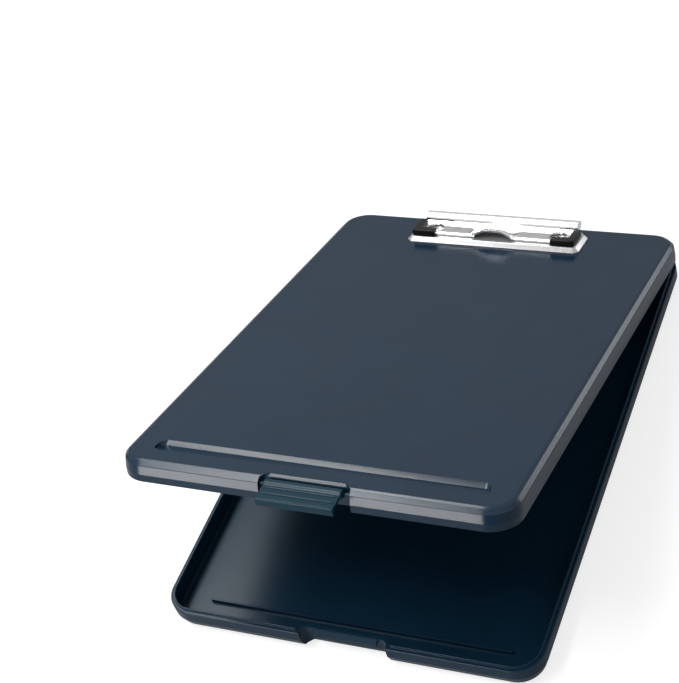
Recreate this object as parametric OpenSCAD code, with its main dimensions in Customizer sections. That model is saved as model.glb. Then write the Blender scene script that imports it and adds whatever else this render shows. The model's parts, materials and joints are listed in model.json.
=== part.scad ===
// Storage clipboard box: a shallow tray with a hinged writing lid, a front latch and a spring clip.
// Millimetres. +X right, +Y to the hinge, +Z up. The origin is the centre of the tray's underside.
// The lid is drawn at lid_open degrees, and every lid piece is modelled closed and then tipped.

/* [Case] */
// Width over the side walls
case_w = 240; // [180:1:320]
// Depth from the front wall to the rear wall
case_d = 340; // [260:1:420]
// Plan radius of the four corners
corner_r = 18; // [12:0.5:30]
// Height of the tray, up to the parting line
tray_h = 14.5; // [11:0.5:40]
// Height of the lid, from the parting line to the writing face
lid_h = 13.5; // [11:0.5:30]
// Angle of the lid at rest
lid_open = 18; // [0:1:90]

/* [Walls] */
// Thickness of the tray's floor
floor_t = 2; // [1.5:0.1:4]
// Width of the tray's rim
rim_w = 3.4; // [2.8:0.1:5]
// Thickness of the lid's skirt
skirt_t = 2; // [1.6:0.1:3]
// Thickness of the writing face
top_t = 2.2; // [1.6:0.1:4]
// Gap between the lid's skirt and the tray's rim when closed
part_gap = 0.4; // [0.2:0.05:1]
// Height of the locating lip on the tray's rim
lip_h = 1.4; // [0.6:0.1:3]
// Sideways clearance between the lip and the skirt
lip_gap = 0.3; // [0.15:0.05:0.6]
// Height of the tapered part of the tray's wall
taper_h = 7; // [3:0.5:9]
// How far the taper goes in at the underside
taper_in = 2.6; // [0.5:0.1:4]
// Height of the upright lower band of the lid's skirt
band_low_h = 4.8; // [2:0.1:8]
// How far the skirt leans in above that band
lean_in = 0.8; // [0.1:0.1:1.4]
// Width of the lid's steep edge bevel
bevel_w = 2.3; // [1:0.1:5]
// Drop of the lid's steep edge bevel
bevel_h = 2.1; // [1:0.1:5]
// Width of the shallow band between the bevel and the writing face
band_w = 2; // [0.5:0.1:4]
// Drop of that shallow band
band_h = 0.8; // [0.2:0.1:1.5]

/* [Pen groove and paper stop] */
// Length of the pen groove in the writing face
groove_l = 203; // [80:1:230]
// Width of the groove
groove_w = 11; // [7:0.5:16]
// Depth of the groove
groove_deep = 3.2; // [1:0.1:5]
// Distance of the groove's centre from the front of the lid
groove_y = 20.5; // [16:0.5:40]
// Drop of the groove's long gentle slope, before the steep step to its bottom
groove_slope_h = 1.7; // [0.3:0.1:3]
// Length of the paper stop on the tray's floor
stop_l = 195; // [60:1:225]
// Height of the paper stop
stop_h = 2.6; // [1:0.1:8]
// Thickness of the paper stop
stop_t = 1.6; // [1:0.1:4]
// Distance of the paper stop from the front of the tray
stop_y = 19.5; // [12:0.5:60]

/* [Hinge] */
// Length of the whole hinge
hinge_l = 176; // [80:1:200]
// Length of each knuckle on the lid
knuckle_l = 12; // [6:0.5:25]
// Outer radius of the barrel
barrel_r = 2.6; // [2.2:0.1:4]
// Diameter of the hinge rod
rod_d = 2.4; // [1.5:0.1:4]
// Radial clearance of a rod that turns
run_gap = 0.05; // [0.02:0.01:0.1]
// End gap beside each knuckle
knuckle_gap = 0.4; // [0.2:0.05:1]

/* [Latch] */
// Width of the latch flap
latch_w = 46.6; // [30:0.1:80]
// Gap at each end of the flap
latch_gap = 4.4; // [1:0.1:6]
// How far the latch pocket is set back from the front face
pocket_in = 6; // [5:0.1:9]
// Thickness of the pocket's back wall
pocket_t = 1.8; // [1.2:0.1:3]
// Length of the flap, from its pivot to its lower end
latch_l = 16; // [12:0.5:24]
// Thickness of the flap
latch_t = 2.2; // [1.6:0.1:3]
// Radius of the flap's pivot barrel
latch_r = 2.2; // [1.6:0.1:3]
// Diameter of the latch pin
latch_pin_d = 1.8; // [1:0.1:2.4]
// Height of the latch hook
hook_h = 2.2; // [1:0.1:4]
// Reach of the latch hook
hook_reach = 3; // [1.2:0.1:3.4]
// Number of grip ribs on the flap
latch_ribs = 3; // [1:1:5]
// Radius of each grip rib
rib_r = 0.6; // [0.4:0.1:1.2]
// Distance from one rib to the next
rib_pitch = 4.6; // [2:0.1:6]
// How far each rib stops short of the flap's ends
rib_in = 2; // [0:0.1:6]
// Swing of the latch at rest, from closed
latch_swing = 82; // [0:1:90]

/* [Clip] */
// Width of the clip's base plate
base_w = 122; // [90:1:170]
// Depth of the base plate
base_d = 32.4; // [30:0.1:40]
// Distance of the base plate from the rear of the lid
base_back = 9; // [4:0.5:30]
// Height of the pressed base plate
base_h = 3; // [2.6:0.1:5]
// Sheet thickness of the base plate
base_t = 1.2; // [0.8:0.1:2]
// Width of the base plate's bevelled edge
base_bevel = 3; // [1:0.1:4]
// Size of the chamfered rear corners
base_chamfer = 7; // [2:0.5:12]
// Width of the lever plate
lever_w = 109; // [80:1:150]
// Sheet thickness of the lever plate
lever_t = 1.2; // [0.8:0.1:2]
// Outer radius of the lever's rear ridge
ridge_r = 4.5; // [4:0.1:6]
// Depth of the lever's flat plate, in front of the ridge
plate_d = 16.4; // [13:0.1:24]
// Height of the clip rod over the writing face
clip_rod_z = 6; // [5.5:0.1:9]
// Diameter of the clip rod
clip_rod_d = 3; // [2:0.1:4]
// Gap between the lever's jaw and the base plate
jaw_gap = 0.3; // [0.1:0.05:1]
// Width of the finger arch in the lever's front edge
arch_w = 36; // [16:1:60]
// Height of the finger arch
arch_h = 4.8; // [2:0.1:8]

/* [Rivets and springs] */
// Distance between the two rivets
rivet_pitch = 88; // [60:1:110]
// Radius of the rivet heads
rivet_r = 4.2; // [3:0.1:5]
// Radius of the rivet shanks
shank_r = 2; // [1.2:0.1:3]
// Radius of the access holes in the lever plate
access_r = 5.7; // [4.5:0.1:6.5]
// Outer radius of the backing washers
washer_r = 6; // [4:0.1:9]
// Thickness of the backing washers
washer_t = 0.8; // [0.5:0.1:2]
// Wire diameter of the torsion springs
wire_d = 0.8; // [0.5:0.05:1.2]
// Turns in each torsion spring
spring_turns = 5; // [2:1:10]
// Distance of each spring's middle from the centre of the clip
spring_x = 26; // [12:1:40]

/* [Grips] */
// Length of a grip along the side of the lever
grip_side = 18.8; // [10:0.1:24]
// Length of a grip along the front of the lever
grip_front = 16.2; // [10:0.1:26]
// Width of the grip's side arm
grip_arm_x = 5; // [4:0.1:8]
// Width of the grip's front arm
grip_arm_y = 6.1; // [5:0.1:8]
// How far a grip stands out past the lever's edge
grip_out = 3; // [1:0.1:5]
// How far a grip stands up over the lever plate
grip_up = 2.4; // [0.5:0.1:4]

/* [Hidden] */
$fn = 48;
eps = 0.01;

half_w = case_w / 2;
half_d = case_d / 2;
lid_z0 = tray_h + part_gap;
lid_top = tray_h + lid_h;
hinge_y = half_d;
hinge_z = tray_h;
relief_r = barrel_r + 0.4;
rod_r = rod_d / 2;

pocket_w = latch_w + 2 * latch_gap;
pocket_y = -half_d + pocket_in;
latch_y = -half_d + 3.4;
latch_z = lid_top - 4.2;
flap_face_y = -half_d + 0.5;
flap_back_y = flap_face_y + latch_t;
flap_z0 = latch_z - latch_l;
hook_y = flap_back_y + hook_reach;
ledge_y = hook_y - hook_reach + 0.7;
ledge_z = flap_z0 + hook_h + 0.4;
ledge_h = 1.6;

groove_cy = -half_d + groove_y;
stop_cy = -half_d + stop_y;

base_y1 = half_d - base_back;
base_y0 = base_y1 - base_d;
base_z = lid_top + base_h;
rod_y = base_y1 - ridge_r - 0.2;
rod_z = lid_top + clip_rod_z;
clip_rod_r = clip_rod_d / 2;
plate_y1 = rod_y - ridge_r;
plate_y0 = plate_y1 - plate_d;
plate_z0 = base_z + jaw_gap + 0.9;
plate_z1 = plate_z0 + lever_t;
rivet_y = plate_y1 - access_r - 3.6;
ear_x = lever_w / 2 - 5;
ear_t = 1.2;
cup_r = access_r + 0.6;
coil_r = clip_rod_r + 0.25 + wire_d / 2;
grip_jaw = grip_front - grip_out + 1;
lid_in_z = lid_top - top_t;
crest_z = lid_z0 + band_low_h;
shoulder_z = lid_top - band_h - bevel_h;
rim_in = lean_in + bevel_w + band_w;
foot_r = 1.8;
pocket_r = 4.5;

// Points of a closed outline with eased corners. Each corner is [x, y] or [x, y, radius].
function unit(v) = v / norm(v);
function eased(c, steps = 4) = [for (i = [0:len(c) - 1])
    each eased_corner(c[(i + len(c) - 1) % len(c)], c[i], c[(i + 1) % len(c)], steps)];
function eased_corner(a, b, n, steps) = len(b) < 3 ? [b] :
    let (p = [b[0], b[1]], u = unit([a[0], a[1]] - p), v = unit([n[0], n[1]] - p),
         half = acos(u * v) / 2, mid = p + unit(u + v) * b[2] / sin(half),
         from = p + u * b[2] / tan(half) - mid, turn = sign(u[0] * v[1] - u[1] * v[0]),
         a0 = atan2(from[1], from[0]))
    [for (k = [0:steps]) mid + b[2] * [cos(a0 - turn * (180 - 2 * half) * k / steps),
                                       sin(a0 - turn * (180 - 2 * half) * k / steps)]];

// A plan rectangle with round corners
module round_plan(w, d, r) {
    square([w - 2 * r, d], center = true);
    square([w, d - 2 * r], center = true);
    for (x = [-1, 1], y = [-1, 1])
        translate([x * (w / 2 - r), y * (d / 2 - r)]) circle(r);
}

// Carries a wall section round the case. The section's x runs out from the corner centres to the
// case's face at x = corner_r, and its y is the height.
module wall_ring() {
    for (a = [0, 180]) rotate(a) {
        translate([half_w - corner_r, 0]) side_wall(case_d - 2 * corner_r) children();
        translate([0, half_d - corner_r]) rotate(90) side_wall(case_w - 2 * corner_r) children();
        translate([half_w - corner_r, half_d - corner_r])
            rotate_extrude(angle = 90) children();
        translate([-half_w + corner_r, half_d - corner_r]) rotate(90)
            rotate_extrude(angle = 90) children();
    }
}

module side_wall(length) {
    rotate([90, 0, 0]) linear_extrude(length, center = true) children();
}

// Tips a lid piece, drawn closed, to the lid's rest angle
module on_lid() {
    translate([0, hinge_y, hinge_z]) rotate([-lid_open, 0, 0])
        translate([0, -hinge_y, -hinge_z]) children();
}

module x_rod(r, length, x = 0) {
    translate([x, 0, 0]) rotate([0, 90, 0]) cylinder(r = r, h = length, center = true);
}

module at_hinge() translate([0, hinge_y, hinge_z]) children();

module tray_section() {
    r = corner_r;
    inner = r - rim_w;
    lip_out = r - skirt_t - lip_gap;
    polygon(eased([
        [inner - foot_r - 1, 0], [r - taper_in, 0, 0.8], [r, taper_h, 0.8], [r, tray_h, 0.5],
        [lip_out, tray_h], [lip_out, tray_h + lip_h, 0.35], [inner, tray_h + lip_h, 0.45],
        [inner - 0.3, floor_t, foot_r], [inner - foot_r - 1, floor_t]
    ]));
}

// The recess for the latch and a fingertip, as a plan outline with round inner corners
module pocket_plan(grow = 0) {
    w = pocket_w + 2 * grow;
    r = pocket_r + grow;
    translate([0, -half_d - 5]) {
        translate([-w / 2, 0]) square([w, pocket_in + grow + 5 - r]);
        translate([-w / 2 + r, 0]) square([w - 2 * r, pocket_in + grow + 5]);
        for (x = [-1, 1]) translate([x * (w / 2 - r), pocket_in + grow + 5 - r]) circle(r);
    }
}

// The pocket's outline, kept to what lies inside the case's front face
module pocket_block(z0, z1, inset) {
    translate([0, 0, z0]) linear_extrude(z1 - z0) intersection() {
        pocket_plan(pocket_t);
        translate([-pocket_w, -half_d + inset]) square([2 * pocket_w, 20]);
    }
}

module lip_cut(y, length) {
    translate([-length / 2, y - rim_w - 1, tray_h]) cube([length, 2 * rim_w + 2, lip_h + 1]);
}

module latch_ledge() {
    w = latch_w - 6;
    translate([0, 0, ledge_z]) rotate([90, 0, 90]) linear_extrude(w, center = true)
        polygon([[pocket_y + 0.5, 0], [ledge_y, 0], [ledge_y, 0.5],
                 [pocket_y, ledge_h + 1], [pocket_y + 0.5, ledge_h + 1]]);
}

module tray_hinge_barrel() {
    l = hinge_l - 2 * knuckle_l - 2 * knuckle_gap;
    at_hinge() x_rod(barrel_r, l);
    // web that carries the barrel down into the rear wall
    rotate([90, 0, 90]) linear_extrude(l, center = true)
        polygon([[half_d - rim_w + 0.5, tray_h - 5], [half_d - 0.1, tray_h - 5.4],
                 [half_d + barrel_r * 0.86, tray_h - barrel_r * 0.5], [half_d, tray_h],
                 [half_d - rim_w + 0.5, tray_h]]);
}

module tray_shell() {
    color("#1d2430") difference() {
        union() {
            difference() {
                union() {
                    wall_ring() tray_section();
                    linear_extrude(floor_t)
                        round_plan(case_w - 2 * rim_w - 1, case_d - 2 * rim_w - 1,
                                   corner_r - rim_w - 0.5);
                    pocket_block(0, tray_h, taper_in + 0.8);
                }
                translate([0, 0, -1]) linear_extrude(tray_h + lip_h + 2) pocket_plan();
                // bevel along the foot of the recess
                rotate([90, 0, 90]) linear_extrude(pocket_w, center = true)
                    polygon([[pocket_y - 1, -1], [pocket_y + 1.3, -1], [pocket_y + 1.2, 0],
                             [pocket_y, 4], [pocket_y - 1, 4]]);
                // lip cut back over the hinge, where the lid's knuckles turn
                at_hinge() x_rod(relief_r, hinge_l + 1);
                lip_cut(half_d, hinge_l + 1);
                // and cut back beside the recess, where the lid's latch pocket comes down
                lip_cut(-half_d, pocket_w + 2 * pocket_t + 1.2);
            }
            latch_ledge();
            tray_hinge_barrel();
            // paper stop, which keeps a pen trough free at the front
            translate([0, stop_cy, 0]) linear_extrude(floor_t + stop_h) {
                square([stop_l - stop_t, stop_t], center = true);
                for (x = [-1, 1]) translate([x * (stop_l - stop_t) / 2, 0]) circle(stop_t / 2);
            }
        }
        at_hinge() x_rod(rod_r + run_gap, hinge_l);
    }
}

// From outside: an upright lower band, a wall that leans in, a steep bevel and a shallow band
module skirt_section() {
    r = corner_r;
    polygon(eased([
        [r - skirt_t, lid_z0, 0.3], [r, lid_z0, 0.4], [r, crest_z, 1], [r - lean_in, shoulder_z, 0.5],
        [r - lean_in - bevel_w, lid_top - band_h, 0.6], [r - rim_in, lid_top, 2.5],
        [r - rim_in - 2, lid_top], [r - rim_in - 2, lid_in_z],
        [r - skirt_t - lean_in, lid_in_z, 2], [r - skirt_t, crest_z]
    ]));
}

module groove_cut() {
    l = groove_l;
    intersection() {
        rotate([90, 0, 90]) linear_extrude(l, center = true)
            polygon(eased([[groove_cy + groove_w / 2 + 1, lid_top + 1],
                           [groove_cy + groove_w / 2 + 1, lid_top],
                           [groove_cy + groove_w / 2, lid_top, 2],
                           [groove_cy - groove_w / 2 + 4.4, lid_top - groove_slope_h, 0.6],
                           [groove_cy - groove_w / 2 + 3.9, lid_top - groove_deep, 0.8],
                           [groove_cy - groove_w / 2 + 0.9, lid_top - groove_deep, 0.8],
                           [groove_cy - groove_w / 2, lid_top, 0.5],
                           [groove_cy - groove_w / 2 - 0.6, lid_top],
                           [groove_cy - groove_w / 2 - 0.6, lid_top + 1]]));
        translate([0, 0, lid_top - groove_deep - 1]) linear_extrude(groove_deep + 3)
            polygon([[-l / 2 + 6, groove_cy + groove_w / 2], [-l / 2, groove_cy - groove_w / 2 + 3],
                     [-l / 2 + 3, groove_cy - groove_w / 2], [l / 2 - 3, groove_cy - groove_w / 2],
                     [l / 2, groove_cy - groove_w / 2 + 3], [l / 2 - 6, groove_cy + groove_w / 2]]);
    }
}

// The same form, thicker by one wall, under the writing face
module groove_floor() {
    l = groove_l + 3;
    y0 = groove_cy - groove_w / 2 - 1.4;
    rotate([90, 0, 90]) linear_extrude(l, center = true)
        polygon([[groove_cy + groove_w / 2 - 2, lid_in_z + eps],
                 [groove_cy - groove_w / 2 + 5.4, lid_top - groove_deep - 1.6],
                 [y0 + 0.8, lid_top - groove_deep - 1.6], [y0, lid_in_z + eps]]);
}

// Long ribs that stiffen the writing face from below
module lid_ribs() {
    rib_y0 = groove_cy + groove_w / 2 + 6;
    rib_y1 = rivet_y - washer_r - 6;
    for (x = [-1, 1]) translate([x * rivet_pitch / 2 - 0.7, rib_y0, lid_in_z - 2])
        cube([1.4, rib_y1 - rib_y0, 2 + eps]);
    translate([-rivet_pitch / 2, rib_y1 - 1.4, lid_in_z - 2]) cube([rivet_pitch, 1.4, 2 + eps]);
    translate([-rivet_pitch / 2, rib_y0, lid_in_z - 2]) cube([rivet_pitch, 1.4, 2 + eps]);
}

module lid_knuckles() {
    for (x = [-1, 1]) translate([x * (hinge_l - knuckle_l) / 2, 0, 0]) {
        at_hinge() x_rod(barrel_r, knuckle_l);
        rotate([90, 0, 90]) linear_extrude(knuckle_l, center = true)
            polygon([[half_d - skirt_t, tray_h + 1], [half_d, tray_h],
                     [half_d + barrel_r * 0.86, tray_h + barrel_r * 0.5],
                     [half_d - 0.1, tray_h + 5.4], [half_d - skirt_t, tray_h + 5.4]]);
    }
}

module lid_shell() {
    color("#2a3442") on_lid() difference() {
        union() {
            difference() {
                union() {
                    wall_ring() skirt_section();
                    translate([0, 0, lid_in_z]) linear_extrude(top_t)
                        round_plan(case_w - 2 * (rim_in + 1.5), case_d - 2 * (rim_in + 1.5),
                                   corner_r - rim_in - 1.5);
                    pocket_block(lid_z0, lid_top - band_h, rim_in);
                    groove_floor();
                    lid_ribs();
                }
                translate([0, 0, lid_z0 - 1]) linear_extrude(lid_h + 2) pocket_plan();
                // bevel along the top edge of the pocket's back wall
                rotate([90, 0, 90]) linear_extrude(pocket_w - pocket_r, center = true)
                    polygon(eased([[pocket_y - 1, lid_top + 1], [pocket_y - 1, lid_top - 1.6],
                                   [pocket_y, lid_top - 1.6, 0.3], [pocket_y + 2, lid_top, 0.8],
                                   [pocket_y + 3, lid_top], [pocket_y + 3, lid_top + 1]]));
                groove_cut();
                at_hinge() x_rod(relief_r, hinge_l + 1);
                for (x = [-1, 1]) translate([x * rivet_pitch / 2, rivet_y, lid_in_z - 1])
                    cylinder(r = shank_r, h = top_t + 2);
            }
            lid_knuckles();
            latch_cheeks();
        }
        at_hinge() x_rod(rod_r, hinge_l + 2);
        translate([0, latch_y, latch_z]) x_rod(latch_pin_d / 2, pocket_w + 3);
    }
}

// End walls of the latch pocket, which hold the latch pin
module latch_cheeks() {
    for (x = [-1, 1]) translate([x * (pocket_w / 2 + pocket_t / 2), 0, 0])
        rotate([90, 0, 90]) linear_extrude(pocket_t, center = true)
            polygon([[-half_d + 0.8, lid_z0 + 0.4], [pocket_y, lid_z0 + 0.4],
                     [pocket_y, lid_in_z + 0.5], [-half_d + lean_in + bevel_w * 0.8, lid_in_z + 0.5],
                     [-half_d + lean_in + 0.2, shoulder_z], [-half_d + 0.8, crest_z]]);
}

module hinge_rod() {
    color("#b9bdc2") on_lid() at_hinge() x_rod(rod_r, hinge_l - 2);
}

// Swings the closed latch out about its pin
module latch_swung() {
    translate([0, latch_y, latch_z]) rotate([-latch_swing, 0, 0])
        translate([0, -latch_y, -latch_z]) children();
}

module latch_section() {
    translate([latch_y, latch_z]) circle(latch_r);
    polygon(eased([
        [latch_y - 0.6, latch_z + latch_r * 0.8], [flap_face_y, latch_z - 0.4, 1.2],
        [flap_face_y, flap_z0, 0.5], [hook_y, flap_z0, 0.9], [hook_y, flap_z0 + hook_h, 0.4],
        [flap_back_y, flap_z0 + hook_h], [flap_back_y, latch_z - latch_r - 1.2],
        [latch_y + 0.8, latch_z - latch_r * 0.8]
    ]));
}

module latch_rib_sections() {
    for (i = [0:latch_ribs - 1])
        translate([flap_face_y + 0.1, flap_z0 + rib_r + 0.2 + i * rib_pitch]) circle(rib_r);
}

module latch_flap() {
    color("#243240") on_lid() latch_swung() difference() {
        rotate([90, 0, 90]) {
            linear_extrude(latch_w, center = true) latch_section();
            linear_extrude(latch_w - 2 * rib_in, center = true) latch_rib_sections();
        }
        translate([0, latch_y, latch_z]) x_rod(latch_pin_d / 2 + run_gap, latch_w + 2);
    }
}

module latch_pin() {
    color("#b9bdc2") on_lid() translate([0, latch_y, latch_z]) x_rod(latch_pin_d / 2, pocket_w + 3);
}

// Outline of the base plate, with chamfered rear corners and eased front corners
module base_plan(inset = 0) {
    w = base_w / 2 - inset;
    y0 = base_y0 + inset;
    y1 = base_y1 - inset;
    c = base_chamfer - inset * 0.6;
    f = max(3 - inset * 0.6, 0.8);
    polygon([[-w + f, y0], [w - f, y0], [w, y0 + f], [w, y1 - c * 1.15], [w - c, y1],
             [-w + c, y1], [-w, y1 - c * 1.15], [-w, y0 + f]]);
}

module base_pan(inset, z1) {
    hull() {
        translate([0, 0, lid_top]) linear_extrude(eps) base_plan(inset);
        translate([0, 0, z1 - eps]) linear_extrude(eps) base_plan(inset + base_bevel);
    }
}

module clip_base() {
    ear_top = rod_z + clip_rod_r + 0.9;
    color("#c9ccd0") on_lid() difference() {
        union() {
            difference() {
                base_pan(0, base_z);
                translate([0, 0, -eps]) base_pan(base_t, base_z - base_t);
            }
            // cups that bring the plate down to the lid under each rivet
            for (x = [-1, 1]) translate([x * rivet_pitch / 2, rivet_y, lid_top])
                cylinder(r1 = cup_r - 0.8, r2 = cup_r + base_t * 0.6, h = base_h);
            // ears that carry the rod inside the lever's ridge
            for (x = [-1, 1]) translate([x * ear_x - ear_t / 2, rod_y - 2.4, base_z - base_t])
                cube([ear_t, 4.8, ear_top - base_z + base_t - 1.2]);
            for (x = [-1, 1]) translate([x * ear_x, rod_y, rod_z]) x_rod(2.4, ear_t);
        }
        for (x = [-1, 1]) translate([x * rivet_pitch / 2, rivet_y, lid_top]) {
            translate([0, 0, base_t]) cylinder(r1 = cup_r - 1.6, r2 = cup_r, h = base_h - base_t + eps);
            translate([0, 0, -1]) cylinder(r = shank_r, h = base_h + 2);
        }
        translate([0, rod_y, rod_z]) x_rod(clip_rod_r, lever_w);
    }
}

// Section of the lever: the ridge over the rod, then the flat plate and its turned-down jaw
module lever_section() {
    difference() {
        translate([rod_y, rod_z]) circle(ridge_r);
        translate([rod_y, rod_z]) circle(ridge_r - lever_t);
        translate([rod_y - ridge_r - 1, rod_z - ridge_r - 1])
            square([2 * ridge_r + 2, ridge_r + 1]);
    }
    translate([plate_y1, plate_z0]) square([lever_t, rod_z - plate_z0 + 0.1]);
    polygon([[plate_y1 + lever_t, plate_z0], [plate_y1 + lever_t, plate_z1 + 0.6],
             [plate_y1, plate_z1 + 0.6], [plate_y1 - 0.6, plate_z1], [plate_y0, plate_z1],
             [plate_y0 - 0.7, plate_z1 - 0.5], [plate_y0 - 0.7, base_z + jaw_gap],
             [plate_y0 + 0.5, base_z + jaw_gap], [plate_y0 + 0.5, plate_z0]]);
}

// End plate of the ridge. Its lower half stays inside the height of the rod, clear of the base.
module lever_end_section() {
    translate([rod_y, rod_z]) circle(clip_rod_r + 1.1);
    intersection() {
        translate([rod_y, rod_z]) circle(ridge_r - 0.2);
        translate([rod_y - ridge_r, rod_z]) square([2 * ridge_r, ridge_r]);
    }
    translate([plate_y1, plate_z0]) square([ridge_r, rod_z - plate_z0 + 0.1]);
}

// The finger arch: a hood that rises toward the lever's front edge
module arch_solid(inset) {
    w = arch_w / 2 - inset;
    t = w * 0.42;
    h = arch_h - inset * 0.4;
    y0 = plate_y0 - 2.2 - (inset > 0 ? 1 : 0);
    hull() {
        translate([0, y0, plate_z1 - inset]) rotate([90, 0, 0]) linear_extrude(eps, center = true)
            polygon([[-w, 0], [-t - 2, h * 0.86], [-t + 2, h], [t - 2, h], [t + 2, h * 0.86], [w, 0]]);
        translate([0, plate_y0 + 10 - inset * 2, plate_z1 - inset]) rotate([90, 0, 0])
            linear_extrude(eps, center = true)
            polygon([[-w * 0.62, 0], [-t * 0.8, 0.05], [t * 0.8, 0.05], [w * 0.62, 0]]);
    }
}

module jaw_cut(x, w) {
    translate([x - w / 2, plate_y0 - 4, base_z - 1]) cube([w, 4.6, plate_z0 - base_z + 1]);
}

module clip_lever() {
    color("#d7dade") on_lid() difference() {
        union() {
            rotate([90, 0, 90]) linear_extrude(lever_w, center = true) lever_section();
            // end plates that turn on the rod
            for (x = [-1, 1]) translate([x * (lever_w / 2 - lever_t / 2), 0, 0])
                rotate([90, 0, 90]) linear_extrude(lever_t, center = true) lever_end_section();
            arch_solid(0);
        }
        arch_solid(lever_t);
        for (x = [-1, 1]) {
            translate([x * rivet_pitch / 2, rivet_y, plate_z0 - 1]) cylinder(r = access_r, h = 4);
        }
        // the turned-down jaw stops where the rubber grips and the finger arch begin
        for (x = [-1, 1]) jaw_cut(x * (lever_w / 2 + 1 - grip_jaw / 2), grip_jaw);
        jaw_cut(0, arch_w - 2 * lever_t);
        translate([0, rod_y, rod_z]) x_rod(clip_rod_r + run_gap, lever_w + 2);
    }
}

module clip_rod() {
    color("#b9bdc2") on_lid() translate([0, rod_y, rod_z]) x_rod(clip_rod_r, lever_w - 0.4);
}

// Centre line of one torsion spring, in x and the two section axes: a leg on the base plate, the
// coil, and a leg up to the roof of the ridge
function coil_point(a) =
    [wire_d * 1.15 * a / 360, coil_r * sin(a), -coil_r * cos(a)];
function spring_route() =
    let (base_leg = base_z + wire_d / 2 + 0.05 - rod_z, last = 360 * spring_turns + 150,
         tip = coil_point(last), roof = ridge_r - lever_t - wire_d / 2 - 0.2)
    concat([[0, coil_r + 0.4, base_leg], [0, coil_r * 0.5, base_leg]],
           [for (a = [0:24:last]) coil_point(a)],
           [[tip[0] + wire_d * 0.4, roof * 0.72, roof * 0.69]]);

// A round wire swept along a route, as one closed surface with a ring of points at each stop
module wire(route, d, sides = 6) {
    n = len(route);
    rings = [for (i = [0:n - 1])
        let (t = route[min(i + 1, n - 1)] - route[max(i - 1, 0)], u = t / norm(t),
             v = cross([1, 0, 0], u) / norm(cross([1, 0, 0], u)), w = cross(u, v))
        for (k = [0:sides - 1])
            route[i] + d / 2 * (v * cos(360 * k / sides) + w * sin(360 * k / sides))];
    walls = [for (i = [0:n - 2], k = [0:sides - 1])
        let (a = i * sides + k, b = i * sides + (k + 1) % sides)
        each [[a, a + sides, b], [b, a + sides, b + sides]]];
    caps = [[for (k = [0:sides - 1]) k], [for (k = [sides - 1:-1:0]) (n - 1) * sides + k]];
    polyhedron(points = rings, faces = concat(walls, caps));
}

module clip_spring(side) {
    length = wire_d * 1.15 * spring_turns;
    color("#8d9298") on_lid() translate([side * spring_x - length / 2, rod_y, rod_z])
        wire(spring_route(), wire_d);
}

module rivet(side) {
    color("#c4c7cb") on_lid() translate([side * rivet_pitch / 2, rivet_y, lid_top])
        rotate_extrude()
            polygon([[0, -top_t - washer_t - 1], [shank_r + 0.9, -top_t - washer_t - 1],
                     [shank_r + 1.3, -top_t - washer_t - 0.5], [shank_r + 1.3, -top_t - washer_t],
                     [shank_r - 0.02, -top_t - washer_t], [shank_r - 0.02, base_t],
                     [rivet_r, base_t], [rivet_r, base_t + 0.4], [rivet_r - 0.6, base_t + 1],
                     [rivet_r - 1.6, base_t + 1.4], [1.5, base_t + 1.6], [0, base_t + 0.6]]);
}

module washer(side) {
    color("#a9adb2") on_lid() translate([side * rivet_pitch / 2, rivet_y, lid_in_z - washer_t])
        difference() {
            cylinder(r = washer_r, h = washer_t);
            translate([0, 0, -1]) cylinder(r = shank_r, h = washer_t + 2);
        }
}

module grip(side) {
    x1 = lever_w / 2 + grip_out;
    y0 = plate_y0 - grip_out - 1;
    z0 = base_z + 0.2;
    h = plate_z1 + grip_up - z0;
    color("#121315") on_lid() scale([side, 1, 1]) difference() {
        translate([0, 0, z0]) linear_extrude(h) union() {
            translate([x1 - grip_arm_x, y0 + 2]) square([grip_arm_x, grip_side - 3]);
            translate([x1 - grip_front + 1, y0]) square([grip_front - 3, grip_arm_y]);
            translate([x1 - 2, y0 + 2]) circle(2);
            translate([x1 - grip_front, y0 + 1]) square([1, grip_arm_y - 2]);
            translate([x1 - grip_arm_x + 1, y0 + grip_side - 1]) square([grip_arm_x - 2, 1]);
            for (y = [y0 + 1, y0 + grip_arm_y - 1]) translate([x1 - grip_front + 1, y]) circle(1);
            for (x = [x1 - grip_arm_x + 1, x1 - 1]) translate([x, y0 + grip_side - 1]) circle(1);
        }
        // slot that the lever plate fills
        translate([0, plate_y0 - 0.7, plate_z0])
            cube([lever_w / 2, plate_d + 2, lever_t]);
    }
}

tray_shell();
lid_shell();
hinge_rod();
latch_flap();
latch_pin();
clip_base();
clip_lever();
clip_rod();
clip_spring(-1);  // clip_spring_left
clip_spring(1);  // clip_spring_right
rivet(-1);  // clip_rivet_left
rivet(1);  // clip_rivet_right
washer(-1);  // rivet_washer_left
washer(1);  // rivet_washer_right
grip(-1);  // corner_grip_left
grip(1);  // corner_grip_right
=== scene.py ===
"""Storage clipboard box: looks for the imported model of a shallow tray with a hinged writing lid."""

import json
import logging
from collections.abc import Callable, Mapping
from dataclasses import dataclass, field
from enum import Enum

import bmesh
import bpy
import numpy as np
from mathutils import Matrix

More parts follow.
